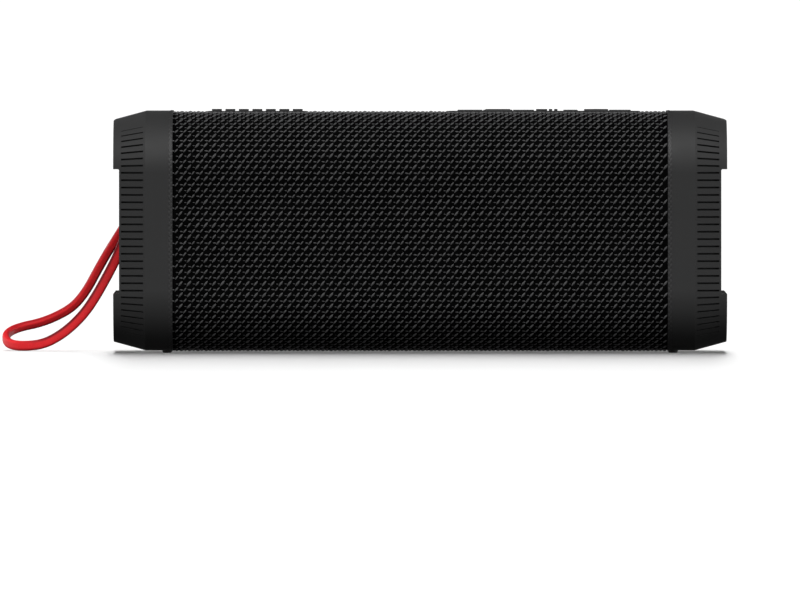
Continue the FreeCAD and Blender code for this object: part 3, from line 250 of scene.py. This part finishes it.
# --- Material tools ------------------------------------------------------------------------------
class Nodes:
    """Shorthand for building one material's node tree."""

    def __init__(self, name, **constants):
        self.material = bpy.data.materials.new(name)
        self.material.use_nodes = True
        self.tree = self.material.node_tree
        self.shader = self.tree.nodes["Principled BSDF"]
        for socket, value in constants.items():
            self.shader.inputs[socket.replace("_", " ")].default_value = value

    def add(self, kind, inputs=None, **settings):
        node = self.tree.nodes.new(kind)
        for key, value in settings.items():
            setattr(node, key, value)
        for key, value in (inputs or {}).items():
            self.feed(node.inputs[key], value)
        return node

    def feed(self, socket, value):
        if isinstance(value, bpy.types.NodeSocket):
            self.tree.links.new(value, socket)
        else:
            socket.default_value = value

    def place(self, scale=(1, 1, 1)):
        """The surface's own coordinates, in metres times a scale."""
        coordinates = self.add("ShaderNodeTexCoord").outputs["Object"]
        mapping = self.add("ShaderNodeMapping", {"Vector": coordinates, "Scale": scale})
        return mapping.outputs["Vector"]

    def noise(self, scale, detail=3.0, roughness=0.55, stretch=(1, 1, 1), distortion=0.0):
        node = self.add(
            "ShaderNodeTexNoise",
            {"Vector": self.place(stretch), "Scale": scale, "Detail": detail,
             "Roughness": roughness, "Distortion": distortion},
        )
        return node.outputs["Fac"]

    def spread(self, value, low, high, from_low=0.3, from_high=0.7):
        """A value's usual range stretched to another range."""
        node = self.add(
            "ShaderNodeMapRange",
            {"Value": value, "From Min": from_low, "From Max": from_high,
             "To Min": low, "To Max": high},
        )
        return node.outputs["Result"]

    def math(self, operation, a, b=0.0):
        node = self.add("ShaderNodeMath", operation=operation)
        self.feed(node.inputs[0], a)
        self.feed(node.inputs[1], b)
        return node.outputs[0]

    def blend(self, share, low, high):
        """A colour between two, by share."""
        node = self.add("ShaderNodeMix", data_type="RGBA")
        self.feed(node.inputs["Factor"], share)
        for socket, colour in (("A", low), ("B", high)):
            target = [i for i in node.inputs if i.name == socket and i.type == "RGBA"][0]
            if not isinstance(colour, bpy.types.NodeSocket):
                colour = (*colour, 1.0)
            self.feed(target, colour)
        return [o for o in node.outputs if o.type == "RGBA"][0]

    def colour(self, value):
        self.feed(self.shader.inputs["Base Color"], value)

    def rough(self, value):
        self.feed(self.shader.inputs["Roughness"], value)

    def bump(self, height, distance):
        """Relief from a height, at most so many metres deep."""
        node = self.add("ShaderNodeBump", {"Height": height, "Distance": distance, "Strength": 1.0})
        self.feed(self.shader.inputs["Normal"], node.outputs["Normal"])


def grained(name, dark, light, rough, grain, relief, settings):
    """A moulded or cast surface: a fine grain in its relief, and slow patches in its colour and
    gloss."""
    m = Nodes(name, **settings)
    slow = m.noise(60.0, detail=4.0)
    fine = m.noise(grain, detail=2.0)
    mixed = m.math("ADD", m.math("MULTIPLY", slow, 0.7), m.math("MULTIPLY", fine, 0.3))
    m.colour(m.blend(m.spread(mixed, 0.0, 1.0), dark, light))
    m.rough(m.spread(slow, *rough))
    m.bump(fine, relief)
    return m.material


# --- Materials -----------------------------------------------------------------------------------
RUBBER = {"Specular_IOR_Level": 0.32}
METAL = {"Metallic": 1.0}
GRAINED = {   # slot: name, darkest, lightest, roughness range, grains in a metre, relief, settings
    "cap_rubber": ("cap_rubber_skin", (0.0178, 0.0179, 0.0181), (0.0217, 0.0218, 0.0220),
                   (0.60, 0.72), 5200.0, 0.012 * MM, {"Specular_IOR_Level": 0.26}),
    "housing_plastic": ("housing_moulding", (0.010, 0.010, 0.011), (0.017, 0.017, 0.018),
                        (0.38, 0.55), 3000.0, 0.02 * MM, {}),
    "trim_rubber": ("trim_rubber_skin", (0.016, 0.016, 0.0165), (0.024, 0.024, 0.0245),
                    (0.55, 0.70), 4200.0, 0.015 * MM, RUBBER),
    "key_rubber": ("key_rubber_skin", (0.018, 0.018, 0.0185), (0.027, 0.027, 0.0275),
                   (0.50, 0.64), 4200.0, 0.012 * MM, RUBBER),
    "cover_rubber": ("cover_rubber_skin", (0.026, 0.026, 0.0265), (0.034, 0.034, 0.0345),
                     (0.55, 0.68), 4600.0, 0.015 * MM, RUBBER),
    "foot_rubber": ("foot_rubber_skin", (0.010, 0.010, 0.010), (0.018, 0.018, 0.018),
                    (0.62, 0.80), 3600.0, 0.03 * MM, RUBBER),
    "seal_rubber": ("seal_rubber_skin", (0.03, 0.03, 0.032), (0.05, 0.05, 0.052),
                    (0.6, 0.75), 3000.0, 0.02 * MM, RUBBER),
    "surround_rubber": ("surround_rubber_skin", (0.014, 0.014, 0.0145), (0.022, 0.022, 0.0225),
                        (0.42, 0.56), 5000.0, 0.01 * MM, RUBBER),
    "basket_steel": ("basket_coating", (0.012, 0.012, 0.013), (0.022, 0.022, 0.024),
                     (0.35, 0.5), 2600.0, 0.02 * MM, {"Metallic": 0.6}),
    "motor_steel": ("motor_zinc", (0.36, 0.36, 0.35), (0.50, 0.50, 0.48),
                    (0.28, 0.45), 1600.0, 0.01 * MM, METAL),
    "cone_plastic": ("cone_skin", (0.010, 0.010, 0.011), (0.020, 0.020, 0.021),
                     (0.40, 0.58), 1200.0, 0.03 * MM, {}),
    "spider_fabric": ("spider_cloth", (0.30, 0.19, 0.07), (0.44, 0.29, 0.12),
                      (0.75, 0.9), 1700.0, 0.08 * MM, {}),
    "screw_steel": ("screw_zinc", (0.30, 0.30, 0.31), (0.46, 0.46, 0.47),
                    (0.25, 0.42), 2400.0, 0.006 * MM, METAL),
    "electronics": ("component_resin", (0.012, 0.012, 0.012), (0.030, 0.030, 0.031),
                    (0.4, 0.6), 2200.0, 0.01 * MM, {}),
    "socket_metal": ("socket_shell", (0.42, 0.41, 0.39), (0.58, 0.57, 0.55),
                     (0.22, 0.36), 2400.0, 0.004 * MM, METAL),
    "socket_plastic": ("socket_body", (0.010, 0.010, 0.010), (0.018, 0.018, 0.018),
                       (0.3, 0.45), 2800.0, 0.01 * MM, {}),
    "battery_sleeve": ("cell_sleeve", (0.02, 0.09, 0.24), (0.035, 0.13, 0.32),
                       (0.22, 0.34), 500.0, 0.02 * MM, {}),
    "anchor_plastic": ("anchor_moulding", (0.012, 0.012, 0.012), (0.020, 0.020, 0.021),
                       (0.42, 0.58), 3000.0, 0.02 * MM, {}),
    "bead": ("bead_rubber", (0.0175, 0.0175, 0.0178), (0.0225, 0.0225, 0.0228),
             (0.5, 0.62), 4200.0, 0.01 * MM, RUBBER),
}


def brushed_metal():
    """Turned aluminium: fine rings about the radiator's axis, and faint streaks across them."""
    m = Nodes("turned_aluminium", Metallic=1.0, Specular_IOR_Level=0.5)
    place = m.add("ShaderNodeTexCoord").outputs["Object"]
    split = m.add("ShaderNodeSeparateXYZ", {"Vector": place})
    up = m.math("SUBTRACT", split.outputs["Z"], AXIS_Z)
    square = m.math("ADD", m.math("POWER", split.outputs["Y"], 2.0), m.math("POWER", up, 2.0))
    ring_pitch = 0.35 * MM
    rings = m.math("SINE", m.math("MULTIPLY", m.math("SQRT", square), 2 * math.pi / ring_pitch))
    streak = m.noise(900.0, detail=4.0)
    m.colour(m.blend(m.spread(streak, 0.0, 1.0), (0.05, 0.05, 0.052), (0.085, 0.085, 0.088)))
    m.rough(m.spread(streak, 0.32, 0.48))
    m.bump(rings, 0.006 * MM)
    return m.material


def yarn():
    """The weave's dark yarn: fine twisted fibres, with lighter crowns where light catches them."""
    m = Nodes("fabric_yarn", Sheen_Weight=0.06, Sheen_Roughness=0.5, Specular_IOR_Level=0.22)
    fibres = m.noise(2600.0, detail=3.0, stretch=(1.0, 1.0, 3.0), distortion=0.6)
    patch = m.noise(140.0, detail=3.0)
    share = m.math("ADD", m.math("MULTIPLY", fibres, 0.6), m.math("MULTIPLY", patch, 0.4))
    m.colour(m.blend(m.spread(share, 0.0, 1.0), (0.034, 0.034, 0.035), (0.070, 0.070, 0.071)))
    m.rough(m.spread(patch, 0.55, 0.75))
    m.bump(fibres, 0.05 * MM)
    return m.material


def ground_cloth():
    """The dark ground between the weave's yarns: close horizontal threads."""
    m = Nodes("fabric_ground", Specular_IOR_Level=0.0)
    threads = m.noise(1800.0, detail=3.0, stretch=(0.35, 1.0, 1.0))
    patch = m.noise(90.0, detail=2.0)
    share = m.math("ADD", m.math("MULTIPLY", threads, 0.7), m.math("MULTIPLY", patch, 0.3))
    m.colour(m.blend(m.spread(share, 0.0, 1.0), (0.0007, 0.0007, 0.0007), (0.0030, 0.0030, 0.0031)))
    m.rough(m.spread(threads, 0.75, 0.95))
    m.bump(threads, 0.12 * MM)
    return m.material


def strap_material():
    """Red woven band with a fine speckle of crossing threads, and painted shade: a darker red along
    its edges and on one face round the loop's far end, where shade falls.
    """
    m = Nodes("strap_band", Specular_IOR_Level=0.12)
    edge = m.add("ShaderNodeAttribute", attribute_name="edge").outputs["Fac"]
    speckle = m.noise(5200.0, detail=2.0, roughness=0.7)
    patch = m.noise(260.0, detail=3.0)
    share = m.math("ADD", m.math("MULTIPLY", speckle, 0.65), m.math("MULTIPLY", patch, 0.35))
    face = m.blend(m.spread(share, 0.0, 1.0), (0.54, 0.012, 0.016), (0.80, 0.028, 0.034))
    # painted shade: the edge attribute darkens the red where shade falls on the band
    m.colour(m.blend(edge, face, (0.16, 0.002, 0.006)))
    m.rough(m.spread(patch, 0.5, 0.66))
    m.bump(speckle, 0.05 * MM)
    return m.material


def circuit_board():
    """Black solder mask over faint copper runs."""
    m = Nodes("board_mask", Specular_IOR_Level=0.5)
    cells = m.add(
        "ShaderNodeTexVoronoi",
        {"Vector": m.place(), "Scale": 420.0},
        distance="CHEBYCHEV", feature="F1",
    ).outputs["Distance"]
    runs = m.spread(cells, 0.0, 1.0, 0.32, 0.36)
    m.colour(m.blend(runs, (0.006, 0.018, 0.010), (0.012, 0.045, 0.022)))
    m.rough(m.spread(m.noise(200.0), 0.28, 0.42))
    m.bump(runs, 0.02 * MM)
    return m.material


def make_materials():
    """One material for each of the record's slots, and two for the yarn and the seam beads."""
    made = {slot: grained(*look) for slot, look in GRAINED.items()}
    made["radiator_metal"] = brushed_metal()
    made["circuit_board"] = circuit_board()
    made["wrap_fabric"] = ground_cloth()
    made["strap_cord"] = strap_material()
    made["yarn"] = yarn()
    return made


def dress_frame(materials):
    """Gives every CAD node the material of its slot."""
    for row in frame["record"]["subparts"]:
        node = frame["nodes"][row["node"]]
        if not node.material_slots:
            node.data.materials.append(None)
        for held in node.material_slots:
            held.material = materials[row["material_slot"]]


# --- Camera, floor and lights --------------------------------------------------------------------
def make_camera():
    """A long lens, far off in front of the object and slightly raised."""
    data = bpy.data.cameras.new("camera")
    data.lens, data.sensor_width = LENS, SENSOR
    data.shift_y = -VIEW_RISE / VIEW_WIDTH
    data.clip_start, data.clip_end = 0.05, 50.0
    camera = bpy.data.objects.new("camera", data)
    bpy.context.scene.collection.objects.link(camera)
    back = Vector((0.0, -math.cos(VIEW_ELEVATION), math.sin(VIEW_ELEVATION)))
    aim = Vector((VIEW_AIM_X, -HALF_DEPTH, AXIS_Z))
    camera.location = aim + back * (VIEW_WIDTH * LENS / SENSOR)
    camera.rotation_mode = "QUATERNION"
    camera.rotation_quaternion = (-back).to_track_quat("-Z", "Y")
    bpy.context.scene.camera = camera


def sun(name, azimuth, elevation, strength, softness, receivers, blockers=None):
    """A soft distant light. Azimuth 0 shines from the front, 90 from the right."""
    data = bpy.data.lights.new(name, "SUN")
    data.energy, data.angle = strength, math.radians(softness)
    lamp = bpy.data.objects.new(name, data)
    bpy.context.scene.collection.objects.link(lamp)
    a, e = math.radians(azimuth), math.radians(elevation)
    towards = Vector((math.sin(a) * math.cos(e), -math.cos(a) * math.cos(e), math.sin(e)))
    lamp.rotation_mode = "QUATERNION"
    lamp.rotation_quaternion = towards.to_track_quat("Z", "Y")
    lamp.light_linking.receiver_collection = receivers
    if blockers:
        lamp.light_linking.blocker_collection = blockers


def floor_sun(name, azimuth, elevation, share, softness, floor_only, blockers=None):
    """One of the floor's own lights, with its share of the light that falls on the floor."""
    strength = share * FLOOR_LIGHT / math.sin(math.radians(elevation))
    sun(name, azimuth, elevation, strength, softness, floor_only, blockers)


def make_floor():
    """A pale floor that casts no light up onto the object."""
    m = Nodes("floor_paper", Specular_IOR_Level=0.0, Roughness=0.9)
    m.colour(m.blend(m.spread(m.noise(6.0), 0.0, 1.0), (0.86, 0.86, 0.86), (0.89, 0.89, 0.89)))
    reach = 30.0   # metres, so that its edge is never seen
    corners = [(-reach, -reach, 0), (reach, -reach, 0), (reach, reach, 0), (-reach, reach, 0)]
    floor = new_object("floor", corners, [(0, 1, 2, 3)], m.material)
    floor.visible_diffuse = False
    floor.visible_glossy = False
    return floor


def make_stage():
    """The floor and soft lights. The floor has lights of its own: a row of them behind the
    object, at different heights, gives the soft shadow that runs out in front of it."""
    floor = make_floor()
    floor_only = bpy.data.collections.new("lit_floor")
    floor_only.objects.link(floor)
    all_but_floor = bpy.data.collections.new("lit_object")
    all_but_floor.objects.link(floor)
    all_but_floor.collection_objects[0].light_linking.link_state = "EXCLUDE"
    for name, azimuth, elevation, strength, softness in OBJECT_LIGHTS:
        sun(name, azimuth, elevation, strength, softness, all_but_floor, all_but_floor)
    floor_sun("floor_base", *FLOOR_BASE, floor_only, floor_only)
    for light in FLOOR_LIGHTS:
        floor_sun(f"floor_{light[0]}_{light[1]}", *light, floor_only)
    world = bpy.data.worlds.new("world")
    bpy.context.scene.world = world
    world.use_nodes = True
    world.node_tree.nodes["Background"].inputs["Color"].default_value = (1, 1, 1, 1)
    world.cycles_visibility.diffuse = False
    world.cycles_visibility.glossy = False
    bpy.context.scene.view_settings.view_transform = "Standard"


# --- Wrist strap ---------------------------------------------------------------------------------
def strap_line():
    """The middle of the strap, as evenly spaced points along the route's smooth curve."""
    curve = bpy.data.curves.new("strap_route", "CURVE")
    curve.dimensions = "3D"
    spline = curve.splines.new("NURBS")
    spline.points.add(len(STRAP_ROUTE_MM) - 1)
    for point, place in zip(spline.points, STRAP_ROUTE_MM):
        point.co = (*(v * MM for v in place), 1.0)
    spline.order_u = 3
    spline.use_endpoint_u = True
    spline.resolution_u = 24
    route = bpy.data.objects.new("strap_route", curve)
    bpy.context.scene.collection.objects.link(route)
    depsgraph = bpy.context.evaluated_depsgraph_get()
    mesh = bpy.data.meshes.new_from_object(route.evaluated_get(depsgraph))
    line = np.array([v.co for v in mesh.vertices])
    bpy.data.objects.remove(route)
    bpy.data.meshes.remove(mesh)
    return evenly(line, STRAP_STEP)


def evenly(line, step):
    """The same line with points about a step apart."""
    lengths = np.concatenate([[0], np.cumsum(np.linalg.norm(np.diff(line, axis=0), axis=1))])
    places = np.linspace(0, lengths[-1], int(round(lengths[-1] / step)) + 1)
    return np.stack([np.interp(places, lengths, line[:, k]) for k in range(3)], axis=1)


def edge_shade_share(wide):
    """How much painted shade, as a darker red, a place across the band has: all of it on the edge
    towards the loop's inside, which is at -1, and some on the other edge."""
    inner = (-wide - 0.35) / 0.3
    outer = 0.6 * (wide - 0.75) / 0.25
    return min(1.0, max(0.0, inner, outer))


def strap_directions(line):
    """Where the band's side and its face point along its middle line, and how much each point
    belongs to the run out and to the run back. Between them the band goes round the loop's far
    end, with its side up."""
    tangents = np.gradient(line, axis=0)
    tangents /= np.linalg.norm(tangents, axis=1)[:, None]
    share = np.linspace(0, 1, len(line))
    out = np.interp(share, STRAP_LOOP[:2], (1, 0))
    back = np.interp(share, STRAP_LOOP[2:], (0, 1))
    side = out[:, None] * np.cross(tangents, STRAP_FACES[0])
    side -= back[:, None] * np.cross(tangents, STRAP_FACES[1])
    side += (1 - out - back)[:, None] * np.array((0.0, 0.0, 1.0))
    side -= np.sum(side * tangents, axis=1)[:, None] * tangents
    side /= np.linalg.norm(side, axis=1)[:, None]
    return side, np.cross(side, tangents), out, back


def strap_surface(line):
    """The band's points, ring by ring, and how much painted shade, as a darker red, each one has."""
    sides, fronts, out, back = strap_directions(line)
    half_widths = np.interp(np.linspace(0, 1, len(line)), STRAP_LOOP[1:3], STRAP_HALF_WIDTHS)
    angles = np.arange(STRAP_AROUND) * 2 * math.pi / STRAP_AROUND
    wide = np.sign(np.sin(angles)) * np.abs(np.sin(angles)) ** STRAP_ROUNDNESS
    thick = np.sign(np.cos(angles)) * np.abs(np.cos(angles)) ** STRAP_ROUNDNESS
    spacing = np.linalg.norm(line[1] - line[0])
    points, edges = [], []
    for k, (middle, side, front) in enumerate(zip(line, sides, fronts)):
        phase = 2 * math.pi * k * spacing / STRAP_THREAD_PITCH
        weave = np.cos(STRAP_THREADS * angles + phase) * np.cos(STRAP_THREADS * angles - phase)
        ease = min(1.0, k / STRAP_ENDS, (len(line) - 1 - k) / STRAP_ENDS)
        relief = STRAP_RELIEF * weave * ease
        for a in range(STRAP_AROUND):
            width = (half_widths[k] + relief[a]) * wide[a]
            depth = (STRAP_HALF_THICKNESS + relief[a]) * thick[a]
            points.append(middle + side * width + front * depth)
            # painted shade: all of the loop's inner edge, some of its outer edge, and one face round
            # the loop's far end
            edges.append(out[k] * edge_shade_share(wide[a]) + back[k] * edge_shade_share(-wide[a])
                         + (1 - out[k] - back[k]) * min(1.0, max(0.0, thick[a])))
    return points, edges


def make_strap(materials):
    """The strap's band: a rounded flat section that turns with its loop, woven on the surface."""
    line = strap_line()
    points, edges = strap_surface(line)
    faces = tube_faces(len(line), STRAP_AROUND)
    last = (len(line) - 1) * STRAP_AROUND
    faces.append(tuple(range(STRAP_AROUND))[::-1])
    faces.append(tuple(last + a for a in range(STRAP_AROUND)))
    strap = new_object("wrist_strap_band", points, faces, materials["strap_cord"])
    # the edge attribute carries the painted shade to the strap's material
    attribute = strap.data.attributes.new("edge", "FLOAT", "POINT")
    attribute.data.foreach_set("value", np.array(edges, np.float32))
    outward_faces(strap)
    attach(strap, "root")
    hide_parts("wrist_strap")


# --- Fabric --------------------------------------------------------------------------------------
def cutouts():
    """The sleeve's openings, each as (lowest x, highest x, lowest s, highest s, corner radius),
    where s is the distance round the body."""
    top_middle = FLAT_Z + QUARTER + FLAT_Y
    back_middle = top_middle + FLAT_Y + QUARTER + FLAT_Z
    openings = []
    for node, corner in TOP_OPENINGS:
        low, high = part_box(node)
        openings.append((low.x - OPENING_GAP, high.x + OPENING_GAP,
                         top_middle + low.y - OPENING_GAP, top_middle + high.y + OPENING_GAP,
                         corner))
    half_x, half_s = DOOR_OPENING
    openings.append((-half_x, half_x, back_middle - half_s, back_middle + half_s, DOOR_CORNER))
    return openings


def rounded_outline(x0, x1, s0, s1, radius):
    """A rounded rectangle's points, in order."""
    points = []
    corners = ((x1, s1, 0), (x0, s1, 1), (x0, s0, 2), (x1, s0, 3))
    for x, s, quarter in corners:
        cx = x - math.copysign(radius, x - (x0 + x1) / 2)
        cs = s - math.copysign(radius, s - (s0 + s1) / 2)
        for k in range(CORNER_STEPS + 1):
            angle = (quarter + k / CORNER_STEPS) * math.pi / 2
            points.append((cx + radius * math.cos(angle), cs + radius * math.sin(angle)))
    return points


def flat_pattern():
    """The sleeve cut flat, with its openings, as a filled mesh in the plane of x and s."""
    curve = bpy.data.curves.new("pattern", "CURVE")
    curve.dimensions = "2D"
    curve.fill_mode = "FRONT"
    loops = [[(-SEAM_X, 0.0), (SEAM_X, 0.0), (SEAM_X, PERIMETER), (-SEAM_X, PERIMETER)]]
    loops += [rounded_outline(*opening) for opening in cutouts()]
    for loop in loops:
        spline = curve.splines.new("POLY")
        spline.points.add(len(loop) - 1)
        for point, (x, s) in zip(spline.points, loop):
            point.co = (x, s, 0.0, 1.0)
        spline.use_cyclic_u = True
    pattern = bpy.data.objects.new("pattern", curve)
    bpy.context.scene.collection.objects.link(pattern)
    depsgraph = bpy.context.evaluated_depsgraph_get()
    mesh = bpy.data.meshes.new_from_object(pattern.evaluated_get(depsgraph))
    bpy.data.objects.remove(pattern)
    return mesh


def make_cloth(materials):
    """The sleeve's ground cloth, cut flat and wrapped round the body."""
    flat = flat_pattern()
    mesh = bmesh.new()
    mesh.from_mesh(flat)
    area = sum(face.calc_area() for face in mesh.faces)
    bmesh.ops.remove_doubles(mesh, verts=mesh.verts, dist=FLAT_WELD)
    for s in np.linspace(0, PERIMETER, ROWS + 1)[1:-1]:
        everything = mesh.verts[:] + mesh.edges[:] + mesh.faces[:]
        bmesh.ops.bisect_plane(mesh, geom=everything, plane_co=(0, s, 0), plane_no=(0, 1, 0),
                               dist=FLAT_WELD)
    y, z, _, _ = skin([v.co.y for v in mesh.verts], CLOTH_INSET, BOTTOM_SLACK)
    for vertex, new_y, new_z in zip(mesh.verts, y, z):
        vertex.co = (vertex.co.x, new_y, new_z)
    bmesh.ops.remove_doubles(mesh, verts=mesh.verts, dist=SEAM_WELD)
    bmesh.ops.recalc_face_normals(mesh, faces=mesh.faces)
    data = bpy.data.meshes.new("ground_cloth")
    mesh.to_mesh(data)
    mesh.free()
    cloth = bpy.data.objects.new("ground_cloth", data)
    bpy.context.scene.collection.objects.link(cloth)
    data.materials.append(materials["wrap_fabric"])
    data.polygons.foreach_set("use_smooth", [True] * len(data.polygons))
    solid = cloth.modifiers.new("thickness", "SOLIDIFY")
    solid.thickness = CLOTH_THICKNESS
    solid.offset = -1.0 if faces_outward(data) else 1.0
    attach(cloth, "root")
    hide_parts("fabric_wrap")
    return cloth, area


def faces_outward(data):
    """True if a tube's faces look away from its axis."""
    face = data.polygons[0]
    away = Vector((0, face.center.y, face.center.z - AXIS_Z))
    return face.normal.dot(away) > 0


def grain(half_length, half_width, height, stations, strands):
    """A yarn's crown where it floats over the ground: (along, across, up) points and faces."""
    points, faces = [], []
    inner_power, outer_power = YARN_OUTLINE
    for i in range(stations):
        a = -1 + 2 * i / (stations - 1)
        swell = max(0.0, 1 - abs(a) ** inner_power) ** outer_power
        half = half_width * (TIP_WIDTH + (1 - TIP_WIDTH) * swell)
        for j in range(strands):
            b = -1 + 2 * j / (strands - 1)
            rise = height * (TIP_HEIGHT + (1 - TIP_HEIGHT) * swell) * math.sqrt(max(0.0, 1 - b * b))
            points.append((half_length * a, half * b, rise))
    for i in range(stations - 1):
        for j in range(strands - 1):
            k = i * strands + j
            faces.append((k, k + strands, k + strands + 1, k + 1))
    return np.array(points), np.array(faces)


def weave_places(rng):
    """Where the yarns sit, row by row: x, s, row. Each place has one yarn of each kind."""
    places = []
    openings = cutouts()
    margin = OPENING_MARGIN
    columns = int(SEAM_X / COLUMN_PITCH) + 1
    for row in range(ROWS):
        s = (row + 0.5) * PERIMETER / ROWS + WEAVE_PHASE[1]
        shift = COLUMN_PITCH / 2 if row % 2 else 0.0
        for column in range(-columns, columns + 1):
            x = column * COLUMN_PITCH + shift + WEAVE_PHASE[0] + rng.normal(0, YARN_STRAY)
            if abs(x) > SEAM_X - SEAM_MARGIN:
                continue
            inside = any(
                x0 - margin < x < x1 + margin and s0 - margin < s < s1 + margin
                for x0, x1, s0, s1, _ in openings
            )
            if not inside:
                places.append((x, s + rng.normal(0, YARN_STRAY), row))
    return np.array(places)


def wrapped(shape, places, lean, offset, scale):
    """Copies of a small shape laid on the body's skin: every copy's points."""
    cos, sin = math.cos(lean), math.sin(lean)
    along, across, up = shape.T
    x = places[:, 0, None] + offset[0] + (along * cos - across * sin)[None] * scale[:, None]
    s = places[:, 1, None] + offset[1] + (along * sin + across * cos)[None] * scale[:, None]
    y, z, ny, nz = skin(s.ravel(), CLOTH_INSET + YARN_SINK, BOTTOM_SLACK)
    rise = (up[None] * scale[:, None]).ravel()
    return np.stack([x.ravel(), y + ny * rise, z + nz * rise], axis=1)


def weave_mesh(places, rng):
    """The points and faces of both kinds of yarn at some places."""
    points, faces, start = [], [], 0
    for kind, lean, offset, sway in YARNS:
        shape, shape_faces = grain(**kind)
        scale = 1 + rng.normal(0, YARN_VARIETY, len(places))
        scale += np.where(places[:, 2] % 2 == 1, sway, -sway)
        points.append(wrapped(shape, places, lean, offset, scale))
        starts = start + np.arange(len(places)) * len(shape)
        faces.append((shape_faces[None] + starts[:, None, None]).reshape(-1, 4))
        start += len(points[-1])
    return np.concatenate(points), np.concatenate(faces).tolist()


def make_weave(materials):
    """The raised yarns of the weave, as four panels round the body."""
    rng = np.random.default_rng(SEED)
    places = weave_places(rng)
    pieces = []
    panel_rows = ROWS // len(PANELS)
    for index, panel in enumerate(PANELS):
        low = index * panel_rows - panel_rows // 2
        rows = np.mod(np.arange(low, low + panel_rows), ROWS)
        points, faces = weave_mesh(places[np.isin(places[:, 2], rows)], rng)
        piece = new_object(f"weave_{panel}", points, faces, materials["yarn"])
        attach(piece, "root")
        pieces.append(piece)
    return pieces


def bead_rise(share, turns):
    """A seam bead's height over the skin, at a share of its width and so many dots along it."""
    crown = BEAD_HEIGHT * math.sin(math.pi * share) ** 0.5 - BEAD_SINK
    dimple = 0.0
    for centre, shift in DOT_ROWS:
        along = (turns + shift) % 1 - 0.5
        near = math.exp(-((share - centre) / DOT_ACROSS) ** 2 - (along / DOT_ALONG) ** 2)
        dimple += DOT_DEPTH * near
    return crown - dimple


def make_seam(name, side, materials):
    """The dotted bead that covers the fabric's edge at one end cap."""
    columns = BEAD_COLUMNS
    y, z, ny, nz = skin(np.arange(BEAD_AROUND) * PERIMETER / BEAD_AROUND)
    points, faces = [], []
    for k in range(BEAD_AROUND):
        for c in range(columns):
            share = c / (columns - 1)
            rise = bead_rise(share, k * BEAD_DOTS / BEAD_AROUND)
            x = side * (SEAM_X - BEAD_OVERLAP + BEAD_WIDTH * share)
            points.append((x, y[k] + ny[k] * rise, z[k] + nz[k] * rise))
        here, following = k * columns, (k + 1) % BEAD_AROUND * columns
        for c in range(columns - 1):
            quad = (here + c, here + c + 1, following + c + 1, following + c)
            faces.append(quad if side > 0 else quad[::-1])
    bead = new_object(name, points, faces, materials["bead"])
    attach(bead, "root")


def make_fabric(materials):
    """Ground cloth, yarns and seam beads."""
    cloth, area = make_cloth(materials)
    panels = make_weave(materials)
    make_seam("seam_bead_left", -1, materials)
    make_seam("seam_bead_right", 1, materials)


# --- Soft rings between fixed parts and the moving plates ----------------------------------------
def membrane(materials, slot, node, centre, axis, profile, bend, sectors):
    """A ring of soft material between a fixed and a moving part, built as sectors round its axis."""
    axis = Vector(axis)
    up = Vector((0, 0, 1))
    level = axis.cross(up)

    def ray(turns):
        angle = 2 * math.pi * turns / sectors
        return up * math.cos(angle) + level * math.sin(angle)

    hold, move = bend
    hold *= math.cos(math.pi / sectors)   # a sector's corners are nearer, along its middle ray
    for sector in range(sectors):
        points = []
        for k in range(SECTOR_STEPS + 1):
            out = ray(sector + k / SECTOR_STEPS)
            points += [centre + out * r + axis * along for r, along in profile]
        faces = tube_faces(SECTOR_STEPS + 1, len(profile))
        piece = new_object(f"{node}_{sector + 1:02d}", points, faces, materials[slot])
        outward_faces(piece)
        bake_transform(piece)
    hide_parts(node)


def roll_profile(outer, outer_edge, crown, inner_edge, inner, base, rise, thick):
    """A half roll's section as (radius, along) points: a flat rim, an arched roll, a flat rim."""
    half = (outer_edge - inner_edge) / 2
    turns = [math.pi * k / ROLL_STEPS for k in range(ROLL_STEPS + 1)]
    top, bottom = (
        [(outer, base + lift)]
        + [(crown + half * math.cos(turn), base + lift + rise * math.sin(turn)) for turn in turns]
        + [(inner, base + lift)]
        for lift in (thick, 0.0)
    )
    return [(r * MM, along * MM) for r, along in top + bottom[::-1]]


def spider_profile():
    """A spider's section: a thin sheet with five waves between its foot and its rim."""
    waves = [
        (SPIDER_START + SPIDER_STEP * k, SPIDER_MIDDLE - SPIDER_WAVE * math.cos(math.pi * k / 2))
        for k in range(SPIDER_POINTS)
    ]
    front = [SPIDER_FOOT] + waves + [SPIDER_RIM]
    back = [(r, along + SPIDER_THICKNESS) for r, along in reversed(front)]
    return [(r * MM, along * MM) for r, along in front + back]


def make_membranes(materials):
    """The radiators' surrounds, and the drivers' surrounds and spiders."""
    plate_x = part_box("right_radiator_frame")[0].x
    driver_roll = [(r, -along) for r, along in roll_profile(**DRIVER_ROLL)]
    for side, sign in (("left", -1), ("right", 1)):
        membrane(materials, "surround_rubber", f"{side}_radiator_surround",
                 Vector((sign * plate_x, 0, AXIS_Z)),
                 (sign, 0, 0), roll_profile(**RADIATOR_ROLL), RADIATOR_BEND, RADIATOR_SECTORS)
        low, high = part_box(f"{side}_driver_basket")
        centre = Vector(((low.x + high.x) / 2, low.y, AXIS_Z))
        membrane(materials, "surround_rubber", f"{side}_driver_surround", centre,
                 (0, 1, 0), driver_roll, DRIVER_BEND, DRIVER_SECTORS)
        membrane(materials, "spider_fabric", f"{side}_driver_spider", centre,
                 (0, 1, 0), spider_profile(), SPIDER_BEND, DRIVER_SECTORS)


# --- The scene -----------------------------------------------------------------------------------
make_camera()
materials = make_materials()
make_strap(materials)
make_stage()
dress_frame(materials)
make_fabric(materials)
make_membranes(materials)
